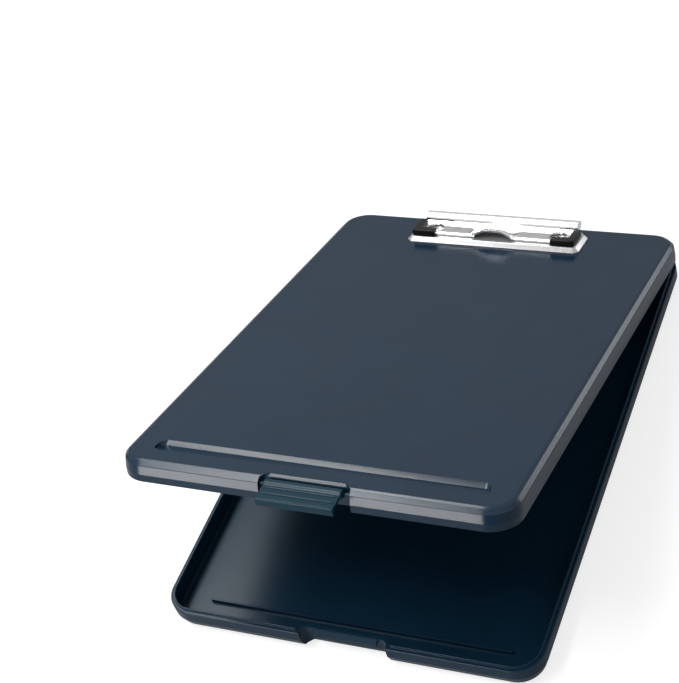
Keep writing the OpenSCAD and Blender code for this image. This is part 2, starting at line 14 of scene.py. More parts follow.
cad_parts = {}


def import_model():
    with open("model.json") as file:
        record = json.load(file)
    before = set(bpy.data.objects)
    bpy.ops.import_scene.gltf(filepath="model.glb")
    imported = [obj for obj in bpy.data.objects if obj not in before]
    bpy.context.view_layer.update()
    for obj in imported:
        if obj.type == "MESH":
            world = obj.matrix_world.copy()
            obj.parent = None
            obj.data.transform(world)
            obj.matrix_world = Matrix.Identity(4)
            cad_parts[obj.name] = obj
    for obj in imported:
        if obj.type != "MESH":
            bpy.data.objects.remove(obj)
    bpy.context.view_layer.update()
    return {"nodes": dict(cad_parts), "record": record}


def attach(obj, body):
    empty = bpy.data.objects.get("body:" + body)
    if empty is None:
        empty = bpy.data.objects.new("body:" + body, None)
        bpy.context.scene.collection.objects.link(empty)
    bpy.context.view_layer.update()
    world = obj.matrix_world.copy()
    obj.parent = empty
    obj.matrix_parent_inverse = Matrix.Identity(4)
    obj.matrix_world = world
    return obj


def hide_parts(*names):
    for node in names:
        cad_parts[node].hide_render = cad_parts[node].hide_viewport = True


LOG = logging.getLogger("clipboard_box")
MM = 0.001

Array = np.ndarray
Node = bpy.types.Node
Socket = bpy.types.NodeSocket
Pair = tuple[float, float]
Triple = tuple[float, float, float]
Colour = tuple[float, float, float, float]
Effects = dict[str, bpy.types.NodeTree]
Finishes = dict[str, bpy.types.Material]
WHITE = (1.0, 1.0, 1.0, 1.0)
CASE_SHARP = 38.0
SIDES = ((-1, "left"), (1, "right"))


def stand(data: bpy.types.ID, place: Triple, axes: tuple[Triple, Triple, Triple]) -> bpy.types.Object:
    """Puts a camera or a lamp into the scene.

    Args:
        data: The camera or lamp, whose name the object takes.
        place: Where it stands, in metres.
        axes: Its right, up and backward directions.

    Returns:
        The object.
    """
    item = bpy.data.objects.new(data.name, data)
    turn = Matrix(axes).transposed().to_4x4()
    turn.translation = place
    item.matrix_world = turn
    bpy.context.scene.collection.objects.link(item)
    return item


@dataclass(frozen=True)
class PhotoCamera:
    """The camera of the photograph, solved from the straight edges of the case."""

    place: Triple = (0.399288, -0.648054, 0.822147)
    across: Triple = (0.911388, 0.340826, -0.230672)
    upward: Triple = (-0.101956, 0.730011, 0.675788)
    back: Triple = (0.398719, -0.592387, 0.700072)
    focal_px: float = 1741.43
    centre_px: Pair = (366.0, 372.0)
    image_px: tuple[int, int] = (679, 683)
    sensor_mm: float = 36.0
    reach: float = 20.0

    def build(self) -> None:
        """Makes the camera and sets it as the scene's camera.

        The lens is the sensor width times the focal length over the image width, and the shift is
        the distance of the principal point from the middle of the image, over the image width.
        """
        data = bpy.data.cameras.new("photo_camera")
        wide, high = self.image_px
        data.sensor_fit, data.sensor_width, data.clip_end = "HORIZONTAL", self.sensor_mm, self.reach
        data.lens = self.sensor_mm * self.focal_px / wide
        data.shift_x = (wide / 2 - self.centre_px[0]) / wide
        data.shift_y = (self.centre_px[1] - high / 2) / wide
        bpy.context.scene.camera = stand(data, self.place, (self.across, self.upward, self.back))


class Wiring:
    """Adds nodes to one shader tree and joins them."""

    def __init__(self, tree: bpy.types.NodeTree) -> None:
        """Keeps the tree that the nodes go into."""
        self.tree = tree

    def give(self, node: Node, inputs: dict) -> Node:
        """Feeds some inputs of a node.

        Args:
            node: The node.
            inputs: Input name or number, to a plain value or to the socket that feeds it.

        Returns:
            The same node.
        """
        for key, value in inputs.items():
            if isinstance(value, Socket):
                self.tree.links.new(value, node.inputs[key])
            else:
                node.inputs[key].default_value = value
        return node

    def add(self, kind: str, inputs: dict | None = None, **settings: object) -> Node:
        """Adds one node.

        Args:
            kind: The node type without its ShaderNode prefix.
            inputs: What feeds its inputs.
            settings: Properties of the node, such as its operation.

        Returns:
            The new node.
        """
        node = self.tree.nodes.new(kind if kind.startswith("Node") else "ShaderNode" + kind)
        for name, value in settings.items():
            setattr(node, name, value)
        return self.give(node, inputs or {})

    def math(self, operation: str, first: object, second: object) -> Socket:
        """One Math node on two values. Returns its result."""
        return self.add("Math", {0: first, 1: second}, operation=operation).outputs[0]

    def plus(self, first: object, second: object) -> Socket:
        """The sum of two values."""
        return self.math("ADD", first, second)

    def times(self, first: object, second: object) -> Socket:
        """The product of two values."""
        return self.math("MULTIPLY", first, second)

    def span(self, value: object, low: float, high: float,
             to_low: float = 0.0, to_high: float = 1.0) -> Socket:
        """Maps low..high to to_low..to_high, clamped at both ends. Returns the mapped value."""
        inputs = {"Value": value, "From Min": low, "From Max": high, "To Min": to_low, "To Max": to_high}
        return self.add("MapRange", inputs, clamp=True).outputs["Result"]

    def tint(self, share: object, first: object, second: object) -> Socket:
        """Mixes two colours, from first at share 0 to second at 1. Returns the colour."""
        return self.add("Mix", {0: share, 6: first, 7: second}, data_type="RGBA").outputs[2]

    def noise(self, place: Socket, scale: object, detail: float, roughness: float = 0.5) -> Socket:
        """One noise texture. Returns its value."""
        inputs = {"Vector": place, "Scale": scale, "Detail": detail, "Roughness": roughness}
        return self.add("TexNoise", inputs).outputs[0]

    def mapped(self, place: Socket, scale: Triple, turn: Triple = (0.0, 0.0, 0.0)) -> Socket:
        """Coordinates turned and stretched. Returns them."""
        return self.add("Mapping", {"Vector": place, "Rotation": turn, "Scale": scale}).outputs[0]

    def bump(self, strength: float, distance: float, height: Socket) -> Socket:
        """A bump from a height. Returns the normal."""
        return self.add("Bump", {"Strength": strength, "Distance": distance, "Height": height}).outputs[0]


def wire_grain(w: Wiring, given: Mapping[str, Socket]) -> dict[str, Socket]:
    """Spark-eroded mould grain: fine and coarse noise for the height, broad noise for the tone.

    Args:
        w: The group's wiring.
        given: Its inputs Vector and Pitch, in metres.

    Returns:
        What feeds its outputs Height and Mottle.
    """
    rate = w.math("DIVIDE", 1.0, given["Pitch"])
    fine = w.noise(given["Vector"], rate, detail=3.0, roughness=0.62)
    coarse = w.noise(given["Vector"], w.times(rate, 0.28), detail=2.0)
    broad = w.noise(given["Vector"], 24.0, detail=4.0, roughness=0.55)
    height = w.plus(w.times(fine, 0.7), w.times(coarse, 0.3))
    return {"Height": height, "Mottle": w.span(broad, 0.3, 0.7)}


def wire_handling(w: Wiring, given: Mapping[str, Socket]) -> dict[str, Socket]:
    """Light use: rubbed patches, and hairline scuffs as thin ridges of stretched noise inside them.

    Args:
        w: The group's wiring.
        given: Its inputs Vector and Amount.

    Returns:
        What feeds its outputs Rub and Scuff.
    """
    rub = w.span(w.noise(given["Vector"], 9.0, detail=3.0), 0.46, 0.7)
    stretched = w.mapped(given["Vector"], scale=(70.0, 1500.0, 700.0), turn=(0.3, 0.2, 0.9))
    scuff = w.times(w.span(w.noise(stretched, 1.0, detail=2.0), 0.63, 0.68), rub)
    return {"Rub": w.times(rub, given["Amount"]), "Scuff": w.times(scuff, given["Amount"])}


def wire_drawn(w: Wiring, given: Mapping[str, Socket]) -> dict[str, Socket]:
    """Drawing lines along x: noise that runs far along x and changes fast across it, and smudges.

    Args:
        w: The group's wiring.
        given: Its input Vector.

    Returns:
        What feeds its outputs Line and Smudge.
    """
    line = w.noise(w.mapped(given["Vector"], scale=(18.0, 2600.0, 2600.0)), 1.0, detail=3.0, roughness=0.6)
    smudge = w.noise(given["Vector"], 55.0, detail=4.0, roughness=0.6)
    return {"Line": line, "Smudge": w.span(smudge, 0.35, 0.7)}


def shared_effect(name: str, numbers: dict[str, float], wire: Callable) -> bpy.types.NodeTree:
    """Builds a shader node group with named sockets.

    Args:
        name: Name of the group.
        numbers: Its number inputs beside Vector, with their default values.
        wire: Takes the wiring and the group's inputs, and returns what feeds each output.

    Returns:
        The group.
    """
    tree = bpy.data.node_groups.new(name, "ShaderNodeTree")
    tree.interface.new_socket(name="Vector", in_out="INPUT", socket_type="NodeSocketVector")
    for key, value in numbers.items():
        socket = tree.interface.new_socket(name=key, in_out="INPUT", socket_type="NodeSocketFloat")
        socket.default_value = value
    w = Wiring(tree)
    fed = wire(w, w.add("NodeGroupInput").outputs)
    for key in fed:
        tree.interface.new_socket(name=key, in_out="OUTPUT", socket_type="NodeSocketFloat")
    w.give(w.add("NodeGroupOutput"), fed)
    return tree


class MaterialWiring(Wiring):
    """Wiring of one material, with its Object coordinates and the shared effects at hand."""

    def __init__(self, tree: bpy.types.NodeTree, effects: Effects) -> None:
        """Keeps the tree and the effects, and adds the coordinates."""
        super().__init__(tree)
        self.effects, self.place = effects, self.add("TexCoord").outputs["Object"]

    def effect(self, name: str, **numbers: float) -> Mapping[str, Socket]:
        """Places a shared effect. Returns its outputs."""
        return self.add("Group", {"Vector": self.place, **numbers}, node_tree=self.effects[name]).outputs


@dataclass(frozen=True)
class Finish:
    """A named finish. Its colour is linear, as a shader takes it."""

    name: str
    colour: Triple
    roughness: float

    def build(self, effects: Effects) -> bpy.types.Material:
        """Makes the material: a Principled surface that dress() feeds.

        Args:
            effects: The shared effects.

        Returns:
            The material.
        """
        material = bpy.data.materials.new(self.name)
        material.use_nodes = True
        material.node_tree.nodes.clear()
        w = MaterialWiring(material.node_tree, effects)
        surface = w.add("BsdfPrincipled", self.dress(w))
        w.add("OutputMaterial", {"Surface": surface.outputs[0]})
        material.diffuse_color = self.shade(1.0)
        return material

    def toned(self, w: Wiring, share: Socket, shades: Pair) -> Socket:
        """The colour between two shades, by a share. Returns it."""
        return w.tint(share, self.shade(shades[0]), self.shade(shades[1]))

    def shade(self, factor: float) -> Colour:
        """The finish's colour times a factor, with alpha 1."""
        return (*(min(1.0, c * factor) for c in self.colour), 1.0)

    def dress(self, w: MaterialWiring) -> dict[str, object]:
        """What feeds the surface's inputs. Each kind of finish gives its own."""
        raise NotImplementedError


@dataclass(frozen=True)
class Moulded(Finish):
    """Moulded plastic or rubber: fine grain, a faint mottle, rubbed patches and a few scuffs."""

    grain_pitch: float = 0.00045
    grain_depth: float = 0.12
    wear: float = 0.35
    specular: float = 0.28
    mottle: Pair = (0.93, 1.08)
    grain_rough: float = 0.1
    rub_rough: float = 0.1
    scuff_rough: float = 0.15
    scuff_share: float = 0.05
    scuff_tone: Colour = (0.35, 0.37, 0.4, 1.0)

    def dress(self, w: MaterialWiring) -> dict[str, object]:
        """Colour from mottle and scuffs, roughness from grain, rub and scuffs, bump from the grain.

        Args:
            w: The material's wiring.

        Returns:
            What feeds the surface's inputs.
        """
        grain = w.effect("moulded_grain", Pitch=self.grain_pitch)
        marks = w.effect("handling_marks", Amount=self.wear)
        toned = self.toned(w, grain["Mottle"], self.mottle)
        rough = w.plus(self.roughness - self.grain_rough / 2, w.times(grain["Height"], self.grain_rough))
        rough = w.math("SUBTRACT", rough, w.times(marks["Rub"], self.rub_rough))
        return {"Base Color": w.tint(w.times(marks["Scuff"], self.scuff_share), toned, self.scuff_tone),
                "Roughness": w.plus(rough, w.times(marks["Scuff"], self.scuff_rough)),
                "Specular IOR Level": self.specular,
                "Normal": w.bump(self.grain_depth, 0.0004, grain["Height"])}


@dataclass(frozen=True)
class BrightPlate(Finish):
    """Polished plated sheet: faint waves in the sheet, smudges and fine polishing lines."""

    wave: float = 0.05
    metal: float = 1.0

    def dress(self, w: MaterialWiring) -> dict[str, object]:
        """Colour and roughness from the smudges, bump from sheet waves and polishing lines.

        Args:
            w: The material's wiring.

        Returns:
            What feeds the surface's inputs.
        """
        drawn = w.effect("drawn_lines")
        height = w.plus(w.noise(w.place, 70.0, detail=1.0), w.times(drawn["Line"], 0.03))
        return {"Metallic": self.metal, "Base Color": self.toned(w, drawn["Smudge"], (1.0, 0.93)),
                "Roughness": w.plus(self.roughness, w.times(drawn["Smudge"], 0.06)),
                "Normal": w.bump(self.wave, 0.001, height)}


@dataclass(frozen=True)
class DrawnSteel(Finish):
    """Drawn wire or cut rod: lines along its length and a dull cast."""

    def dress(self, w: MaterialWiring) -> dict[str, object]:
        """Colour, roughness and bump follow the drawing lines.

        Args:
            w: The material's wiring.

        Returns:
            What feeds the surface's inputs.
        """
        line = w.effect("drawn_lines")["Line"]
        return {"Metallic": 1.0, "Base Color": self.toned(w, line, (0.75, 1.15)),
                "Roughness": w.plus(self.roughness, w.times(line, 0.18)),
                "Normal": w.bump(0.15, 0.0003, line)}


SATIN = BrightPlate("satin_plate", (0.44, 0.44, 0.444), 0.24, metal=0.5)


class Slot(Enum):
    """The record's material slots, each with the finish that dresses it."""

    BODY = ("body", Moulded("lid_plastic", (0.003, 0.019, 0.040), 0.21))
    BODY_DARK = ("body_dark", Moulded("tray_plastic", (0.004, 0.021, 0.042), 0.25, specular=0.22))
    LATCH = ("latch_plastic", Moulded("latch_plastic", (0.005, 0.031, 0.050), 0.24, wear=0.7, specular=0.17))
    CHROME = ("chrome", BrightPlate("bright_plate", (0.90, 0.905, 0.915), 0.06))
    STEEL = ("steel", DrawnSteel("drawn_steel", (0.56, 0.565, 0.575), 0.26))
    SPRING = ("spring_steel", DrawnSteel("spring_wire", (0.36, 0.365, 0.375), 0.30))
    RIVET = ("rivet_metal", BrightPlate("rivet_plate", (0.84, 0.845, 0.86), 0.10, wave=0.08))
    RUBBER = ("rubber", Moulded("grip_rubber", (0.006, 0.006, 0.007), 0.42, grain_pitch=0.0007,
                                grain_depth=0.25, wear=0.8, specular=0.18, mottle=(0.8, 1.5), grain_rough=0.0,
                                rub_rough=0.15, scuff_rough=0.0, scuff_share=0.0))


@dataclass(frozen=True)
class Rest:
    """Takes points from the closed case, in millimetres, to where they rest, in metres."""

    hinge: Pair = (170.0, 14.5)
    lid_open: float = 18.0
    latch: Pair = (-166.6, 23.8)
    latch_swing: float = 82.0

    @staticmethod
    def turned(points: Array, centre: Pair, degrees: float) -> Array:
        """Turns points about an x line, which opens a lid piece.

        y' is the centre plus dy cos a plus dz sin a, and z' is the centre less dy sin a plus dz cos a.

        Args:
            points: Points as (n, 3).
            centre: The line's y and z.
            degrees: The angle a.

        Returns:
            The turned points.
        """
        sine, cosine = np.sin(np.radians(degrees)), np.cos(np.radians(degrees))
        dy, dz = points[:, 1] - centre[0], points[:, 2] - centre[1]
        return np.column_stack([points[:, 0], centre[0] + dy * cosine + dz * sine,
                                centre[1] - dy * sine + dz * cosine])

    def place(self, points: Array, body: str) -> Array:
        """Places the points of a piece.

        Args:
            points: Points as (n, 3), in closed-case millimetres.
            body: The body that the piece rides on.

        Returns:
            The points at rest, in metres.
        """
        if body == "latch":
            points = self.turned(points, self.latch, self.latch_swing)
        if body != "tray":
            points = self.turned(points, self.hinge, self.lid_open)
        return points * MM


REST = Rest()


def lattice(rows: int, cols: int, close_rows: bool = False, close_cols: bool = False) -> Array:
    """Quads of a grid of rows by cols points, numbered along the rows.

    Args:
        rows: Number of rows.
        cols: Number of points in a row.
        close_rows: Whether the last row joins the first.
        close_cols: Whether each row's end joins its start.

    Returns:
        Point numbers as (quads, 4).
    """
    i, j = np.meshgrid(np.arange(rows if close_rows else rows - 1),
                       np.arange(cols if close_cols else cols - 1), indexing="ij")
    k, m = (i + 1) % rows, (j + 1) % cols
    return np.stack([i * cols + j, i * cols + m, k * cols + m, k * cols + j], axis=-1).reshape(-1, 4)


def unit(vectors: Array) -> Array:
    """Vectors over their lengths."""
    return vectors / np.maximum(np.linalg.norm(vectors, axis=-1, keepdims=True), 1e-12)


def ease(share: Array) -> Array:
    """Three t squared less two t cubed, with t kept to 0..1."""
    t = np.clip(share, 0.0, 1.0)
    return t * t * (3 - 2 * t)


def quarter(share: Array) -> Array:
    """The fall of a quarter circle: one less the root of one less t squared, with t kept to 0..1."""
    return 1 - np.sqrt(1 - np.clip(share, 0, 1) ** 2)


def arc(centre: Pair, radius: float, start: float, end: float, count: int) -> Array:
    """Points on a circle, evenly from one angle to another in degrees, as (count, 2)."""
    a = np.radians(np.linspace(start, end, count))
    return np.asarray(centre) + radius * np.column_stack([np.cos(a), np.sin(a)])


def eased_outline(corners: Array, radii: Array, inset: float = 0.0, steps: int = 6) -> Array:
    """A closed outline, taken in by an inset, with an arc at each corner.

    A corner moves by inset times the sum of its two inward normals over one plus their dot product.
    Its arc starts r / tan(h) along one edge and turns by the angle between the edges, where h is
    half the corner's inner angle. r shrinks by the inset at a corner that stands out and grows at
    one that goes in.

    Args:
        corners: The corners as (n, 2), counter-clockwise.
        radii: The corners' radii at no inset.
        inset: How far the edges move in.
        steps: Segments in each arc.

    Returns:
        The outline's points as (n * (steps + 1), 2).
    """
    before = unit(corners - np.roll(corners, 1, axis=0))
    after = np.roll(before, -1, axis=0)
    inward = np.stack([-before[:, 1] - after[:, 1], before[:, 0] + after[:, 0]], axis=-1)
    dots = np.sum(before * after, axis=-1, keepdims=True)
    moved = corners + inset * inward / (1 + dots)
    turn = np.arctan2(before[:, 0] * after[:, 1] - before[:, 1] * after[:, 0], dots[:, 0])
    half = (np.pi - np.abs(turn)) / 2
    radius = np.maximum(radii - np.sign(turn) * inset, 0.02)
    centre = moved + unit(after - before) * (radius / np.sin(half))[:, None]
    spoke = moved - before * (radius / np.tan(half))[:, None] - centre
    a = turn[:, None] * np.linspace(0.0, 1.0, steps + 1)
    arcs = np.stack([spoke[:, :1] * np.cos(a) - spoke[:, 1:] * np.sin(a),
                     spoke[:, :1] * np.sin(a) + spoke[:, 1:] * np.cos(a)], axis=-1)
    return (centre[:, None, :] + arcs).reshape(-1, 2)


def traced(corners: Array, radii: Array, longest: float = 0.8) -> tuple[Array, Array]:
    """A section with eased corners, and more points along its straight lines.

    Args:
        corners: The corners as (n, 2), counter-clockwise.
        radii: The corners' radii.
        longest: About the longest step between points.

    Returns:
        The points, and the number of the corner at each, with shares between corners.
    """
    outline = eased_outline(corners, radii)
    number = np.repeat(np.arange(len(corners)), len(outline) // len(corners)).astype(float)
    run = np.concatenate([[0.0], np.cumsum(np.linalg.norm(np.diff(outline, axis=0), axis=1))])
    stops = np.union1d(run, np.arange(0.0, run[-1], longest))
    return np.column_stack([np.interp(stops, run, line) for line in outline.T]), np.interp(stops, run, number)


def once(ring: Array) -> Array:
    """A ring of points without repeats next to each other."""
    return ring[np.linalg.norm(ring - np.roll(ring, 1, axis=0), axis=1) > 1e-5]


def stacked(corners: Array, radii: Array | float, steps: list[Pair], arc_steps: int = 6) -> Array:
    """A plan outline in rings one over the other.

    Args:
        corners: The outline's corners.
        radii: The corners' radii, or one for all.
        steps: Inset and height of each ring.
        arc_steps: Segments in each corner's arc.

    Returns:
        Rings as (rings, points, 3).
    """
    rings = [eased_outline(corners, radii + np.zeros(len(corners)), inset, arc_steps) for inset, _ in steps]
    return np.stack([np.column_stack([ring, np.full(len(ring), z)]) for ring, (_, z) in zip(rings, steps)])


def oblong(x0: float, x1: float, y0: float, y1: float) -> Array:
    """The corners of a rectangle, counter-clockwise."""
    return np.array([[x0, y0], [x1, y0], [x1, y1], [x0, y1]])


def carried(section: Array, x: Array) -> Array:
    """A (y, z) section repeated at every x, as (rows, columns, 3)."""
    return np.stack(np.broadcast_arrays(x, section[:, :1], section[:, 1:]), axis=-1)


def across(section: Array, x: float) -> Array:
    """A (y, z) section at one x, as (n, 3)."""
    return carried(section, np.array([x]))[:, 0]


def rounded_end(half: float, edge: float) -> tuple[Array, Array]:
    """Insets of edge times one less cos t, and stops that run to half as edge times sin t."""
    t = np.radians([90.0, 60.0, 30.0, 0.0])
    return edge * (1 - np.cos(t)), half - edge + edge * np.sin(t)


def bar(section: Array, radii: Array, half: float, edge: float) -> Array:
    """A section carried along x, taken in toward its two ends, which are rounded off.

    Args:
        section: Corners in (y, z), counter-clockwise.
        radii: The corners' radii.
        half: Half the length.
        edge: Radius of the rounding at the ends.

    Returns:
        Rings as (rings, points, 3).
    """
    insets, stops = rounded_end(half, edge)
    left = [across(eased_outline(section, radii, i, 5), -x) for i, x in zip(insets, stops)]
    return np.stack(left + [ring * (-1, 1, 1) for ring in left[::-1]])


def spun(profile: Array, centre: Pair, turns: int, lobes: Callable | None = None) -> Array:
    """A (radius, height) profile spun about an upright axis.

    Args:
        profile: Radii and heights as (n, 2).
        centre: The axis's x and y.
        turns: Points round the axis.
        lobes: Takes radii and angles to a height that is added.

    Returns:
        A grid as (n, turns, 3), closed along its rows.
    """
    a = np.linspace(0.0, 2 * np.pi, turns, endpoint=False)
    r, z = profile[:, :1], profile[:, 1:]
    extra = lobes(r, a[None, :]) if lobes else 0.0
    return np.stack([centre[0] + r * np.cos(a), centre[1] + r * np.sin(a), z + extra + 0 * a], axis=-1)


def tube(route: Array, radius: float, sides: int = 12) -> Array:
    """A round wire along a route: rings square to the route, set out from the x direction.

    Args:
        route: Points as (n, 3).
        radius: Radius of the wire.
        sides: Points in each ring.

    Returns:
        Rings as (n, sides, 3).
    """
    run = unit(np.gradient(route, axis=0))
    out = unit(np.cross(np.array([1.0, 0.03, 0.02]), run))
    up = np.cross(run, out)
    a = np.linspace(0.0, 2 * np.pi, sides, endpoint=False)[None, :, None]
    return route[:, None, :] + radius * (out[:, None, :] * np.cos(a) + up[:, None, :] * np.sin(a))


@dataclass
class Piece:
    """One mesh under construction, as grids and flat faces in closed-case millimetres."""

    name: str
    slot: Slot
    body: str
    node: str
    points: list = field(default_factory=list)
    faces: list = field(default_factory=list)

    def add(self, points: Array, faces: Array, flip: bool = False) -> None:
        """Adds points and faces.

        Args:
            points: Points as (..., 3).
            faces: The numbers of the points of each face, as (faces, sides).
            flip: Whether the faces turn over.
        """
        count = sum(map(len, self.points))
        self.faces += ((faces[:, ::-1] if flip else faces) + count).tolist()
        self.points.append(points.reshape(-1, 3))

    def grid(self, points: Array, close_rows: bool = False, close_cols: bool = False,
             flip: bool = False) -> None:
        """Adds a grid of points as (rows, cols, 3)."""
        self.add(points, lattice(points.shape[0], points.shape[1], close_rows, close_cols), flip)

    def flat(self, ring: Array, flip: bool = False) -> None:
        """Adds one flat face on a closed ring of points."""
        self.add(ring, np.arange(len(ring))[None, :], flip)

    def tower(self, rings: Array) -> None:
        """Adds closed rings one over the other.

        Args:
            rings: Rings as (rings, points, 3). The first and the last get a flat face.
        """
        self.grid(rings, close_cols=True)
        self.flat(rings[0], flip=True)
        self.flat(rings[-1])

    def finish(self, finishes: Finishes, closed: bool = True, sharp: float = 32.0, sheet: float = 0.0,
               rounding: float = 0.0, finish: Finish | None = None) -> None:
        """Makes the object, at rest and in metres, and hands it to the frame.

        Args:
            finishes: Slot or finish name to material.
            closed: Whether the surface is closed, so that its faces can be turned outward.
            sharp: Edges that turn by more degrees than this stay sharp.
            sheet: Thickness in millimetres that an open surface gets on its inner side.
            rounding: Width in millimetres of the rounding on sharp edges.
            finish: Another finish than the slot's own.
        """
        mesh = bpy.data.meshes.new(self.name)
        mesh.from_pydata(REST.place(np.concatenate(self.points), self.body).tolist(), [], self.faces)
        work = bmesh.new()
        work.from_mesh(mesh)
        bmesh.ops.remove_doubles(work, verts=work.verts, dist=2e-6)
        bmesh.ops.dissolve_degenerate(work, dist=1e-7, edges=work.edges)
        if closed:
            bmesh.ops.recalc_face_normals(work, faces=work.faces)
        work.to_mesh(mesh)
        work.free()
        mesh.set_sharp_from_angle(angle=np.radians(sharp))
        sides = np.empty(len(mesh.polygons), dtype=np.int32)
        mesh.polygons.foreach_get("loop_total", sides)
        mesh.polygons.foreach_set("use_smooth", sides <= 4)
        mesh.materials.append(finishes[finish.name if finish else self.slot.value[0]])
        piece = bpy.data.objects.new(self.name, mesh)
        bpy.context.scene.collection.objects.link(piece)
        if sheet:
            thick = piece.modifiers.new("sheet", "SOLIDIFY")
            thick.thickness, thick.offset, thick.use_even_offset = sheet * MM, -1.0, True
        if rounding:
            bevel = piece.modifiers.new("rounding", "BEVEL")
            bevel.width, bevel.segments, bevel.limit_method = rounding * MM, 2, "ANGLE"
            bevel.angle_limit = np.radians(50.0)
            bevel.use_clamp_overlap, bevel.harden_normals = True, False
        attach(piece, self.body)
        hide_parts(self.node)
        LOG.info("%s: %d points, %d faces on %s", self.name, len(mesh.vertices), len(sides), self.body)


@dataclass(frozen=True)
class CasePath:
    """The plan path that both halves of the case follow, with the latch notch and the hinge gap.

    A wall section is given as points (a, z): a runs out from the line through the corner centres,
    and reaches the case's face at a = corner.
    """

    half_width: float = 120.0
    half_depth: float = 170.0
    corner: float = 18.0
    notch_flat: float = 23.2
    notch_round: float = 4.5
    notch_back: float = -164.0
    notch_wall: float = 1.8
    notch_fade: float = 3.0
    lip_gap: float = 30.1
    hinge_gap: float = 88.5
    relief: float = 3.0
    nowhere: float = -1e3

    def front(self) -> dict[str, Array]:
        """The front side's columns from left to right.

        Columns are doubled where the section changes: at the notch's ends and where the lip stops.

        Returns:
            outer and inner as the x of outer and inner points, and the flags lip and notch.
        """
        before, between = 12, 4
        t = np.sin(np.radians(np.linspace(90.0, 0.0, 10)))
        far = np.linspace(self.corner - self.half_width, -self.lip_gap, before)
        middle = np.linspace(-self.notch_flat, 0.0, 16)[1:]
        outer, inner = (
            np.concatenate([far, np.linspace(-self.lip_gap, -self.notch_flat - r, between),
                            -self.notch_flat - r * t, middle])
            for r in (self.notch_round, self.notch_round + self.notch_wall))
        index = np.arange(len(outer))
        half = {"outer": outer, "inner": inner, "lip": index >= before, "notch": index >= before + between}
        return {key: np.concatenate([line, line[-2::-1] if line.dtype == bool else -line[-2::-1]])
                for key, line in half.items()}

    def columns(self) -> dict[str, Array]:
        """All columns, counter-clockwise from the front left.

        Returns:
            base_y and out as the start and direction of a, outer and inner as x, and the flags
            front, lip, notch and gap.
        """
        w, d, g = self.half_width - self.corner, self.half_depth - self.corner, self.hinge_gap
        beside, over = 4, 41
        front = self.front()
        left = np.linspace(-g, -w, beside)
        rear = np.concatenate([-left[::-1], np.linspace(g, -g, over), left])
        side = np.linspace(-d, d, 31)
        turns = [arc((0.0, 0.0), 1.0, start + 3.75, start + 86.25, 23) for start in (-90, 0, 90, 180)]
        spans = [(front["outer"], -d, (0, -1)), (w, -d, turns[0]), (w, side, (1, 0)), (w, d, turns[1]),
                 (rear, d, (0, 1)), (-w, d, turns[2]), (-w, side[::-1], (-1, 0)), (-w, -d, turns[3])]
        parts = [np.column_stack(np.broadcast_arrays(x, y, *np.transpose(out))) for x, y, out in spans]
        table = np.concatenate(parts).astype(float)
        first, rear_at = len(parts[0]), sum(map(len, parts[:4]))
        index, rest = np.arange(len(table)), table[first:, 0]
        gap = (index >= rear_at + beside) & (index < rear_at + beside + over)
        result = {"base_y": table[:, 1], "out": table[:, 2:], "front": index < first, "gap": gap}
        for key, line in front.items():
            beyond = np.zeros(len(rest), dtype=bool) if line.dtype == bool else rest
            result[key] = np.concatenate([line, beyond])
        return result

    def notch_line(self, x: Array, grow: float) -> Array:
        """The notch's back wall, which falls at each end by r less the root of r squared less d squared.

        d is the distance beyond the wall's flat part.

        Args:
            x: Where along it.
            grow: How far it is moved into the case.

        Returns:
            Its y, and a value far in front beyond its ends.
        """
        r, beyond = self.notch_round + grow, np.abs(x) - self.notch_flat
        line = self.notch_back + grow - r + np.sqrt(r * r - np.clip(beyond, 0.0, r) ** 2)
        return np.where(np.abs(x) <= self.notch_flat + r, line, self.nowhere)

    def swept(self, section: Array, corner_at: Array, inner: Array, slope: Array,
              relief_arc: tuple[float, ...], lip_z: float) -> Array:
        """Carries a wall section round the case.

        In the notch a point's y is held at the notch's back wall or deeper. Over the hinge, the
        points between two corners of the section follow the relief arc instead: y is the hinge
        less R sin t, and z is the hinge's plus R cos t.

        Args:
            section: The section's points as (rows, 2).
            corner_at: Number of the section's corner at each row, with shares between corners.
            inner: Whether a row lies on the inner side.
            slope: How far each row's notch wall slopes inward.
            relief_arc: First and last corner of the relief arc, and the angles t there in degrees.
            lip_z: Height that rows are held to where the lip is cut back.

        Returns:
            Points as (rows, columns, 3).
        """
        c = self.columns()
        a, z, inner = section[:, :1], section[:, 1:], inner[:, None]
        x = np.where(inner, c["inner"], c["outer"])
        fade = ease((self.notch_flat + self.notch_fade - np.abs(x)) / self.notch_fade)
        wall = self.notch_line(x, 0.0) + slope[:, None] * fade
        held = np.where(inner, self.notch_line(x, self.notch_wall), wall)
        held = np.where(c["front"] & (c["notch"] | inner), held, self.nowhere)
        y = np.maximum(c["base_y"] + c["out"][:, 1] * a, held)
        z = np.where(c["lip"] | c["gap"], np.minimum(z, lip_z), z + 0 * x)
        t = np.radians(np.interp(corner_at, relief_arc[:2], relief_arc[2:]))[:, None]
        on_arc = ((corner_at >= relief_arc[0]) & (corner_at <= relief_arc[1]))[:, None] & c["gap"]
        y = np.where(on_arc, self.half_depth - self.relief * np.sin(t), y)
        z = np.where(on_arc, REST.hinge[1] + self.relief * np.cos(t), z)
        return np.stack([x + c["out"][:, 0] * a, y, z], axis=-1)

    def split(self, ring: Array) -> tuple[Array, Array]:
        """Splits a ring round the case where its front corners end.

        Args:
            ring: The ring's points.

        Returns:
            Its front and its rear part.
        """
        ends = np.flatnonzero(np.abs(ring[:, 1] + self.half_depth - self.corner) < 1e-6)
        left, right = ends[np.argmin(ring[ends, 0])], ends[np.argmax(ring[ends, 0])]
        cut = (right - left) % len(ring)
        ring = np.roll(ring, -left, axis=0)
        return ring[:cut + 1], np.concatenate([ring[cut:], ring[:1]])


PATH = CasePath()


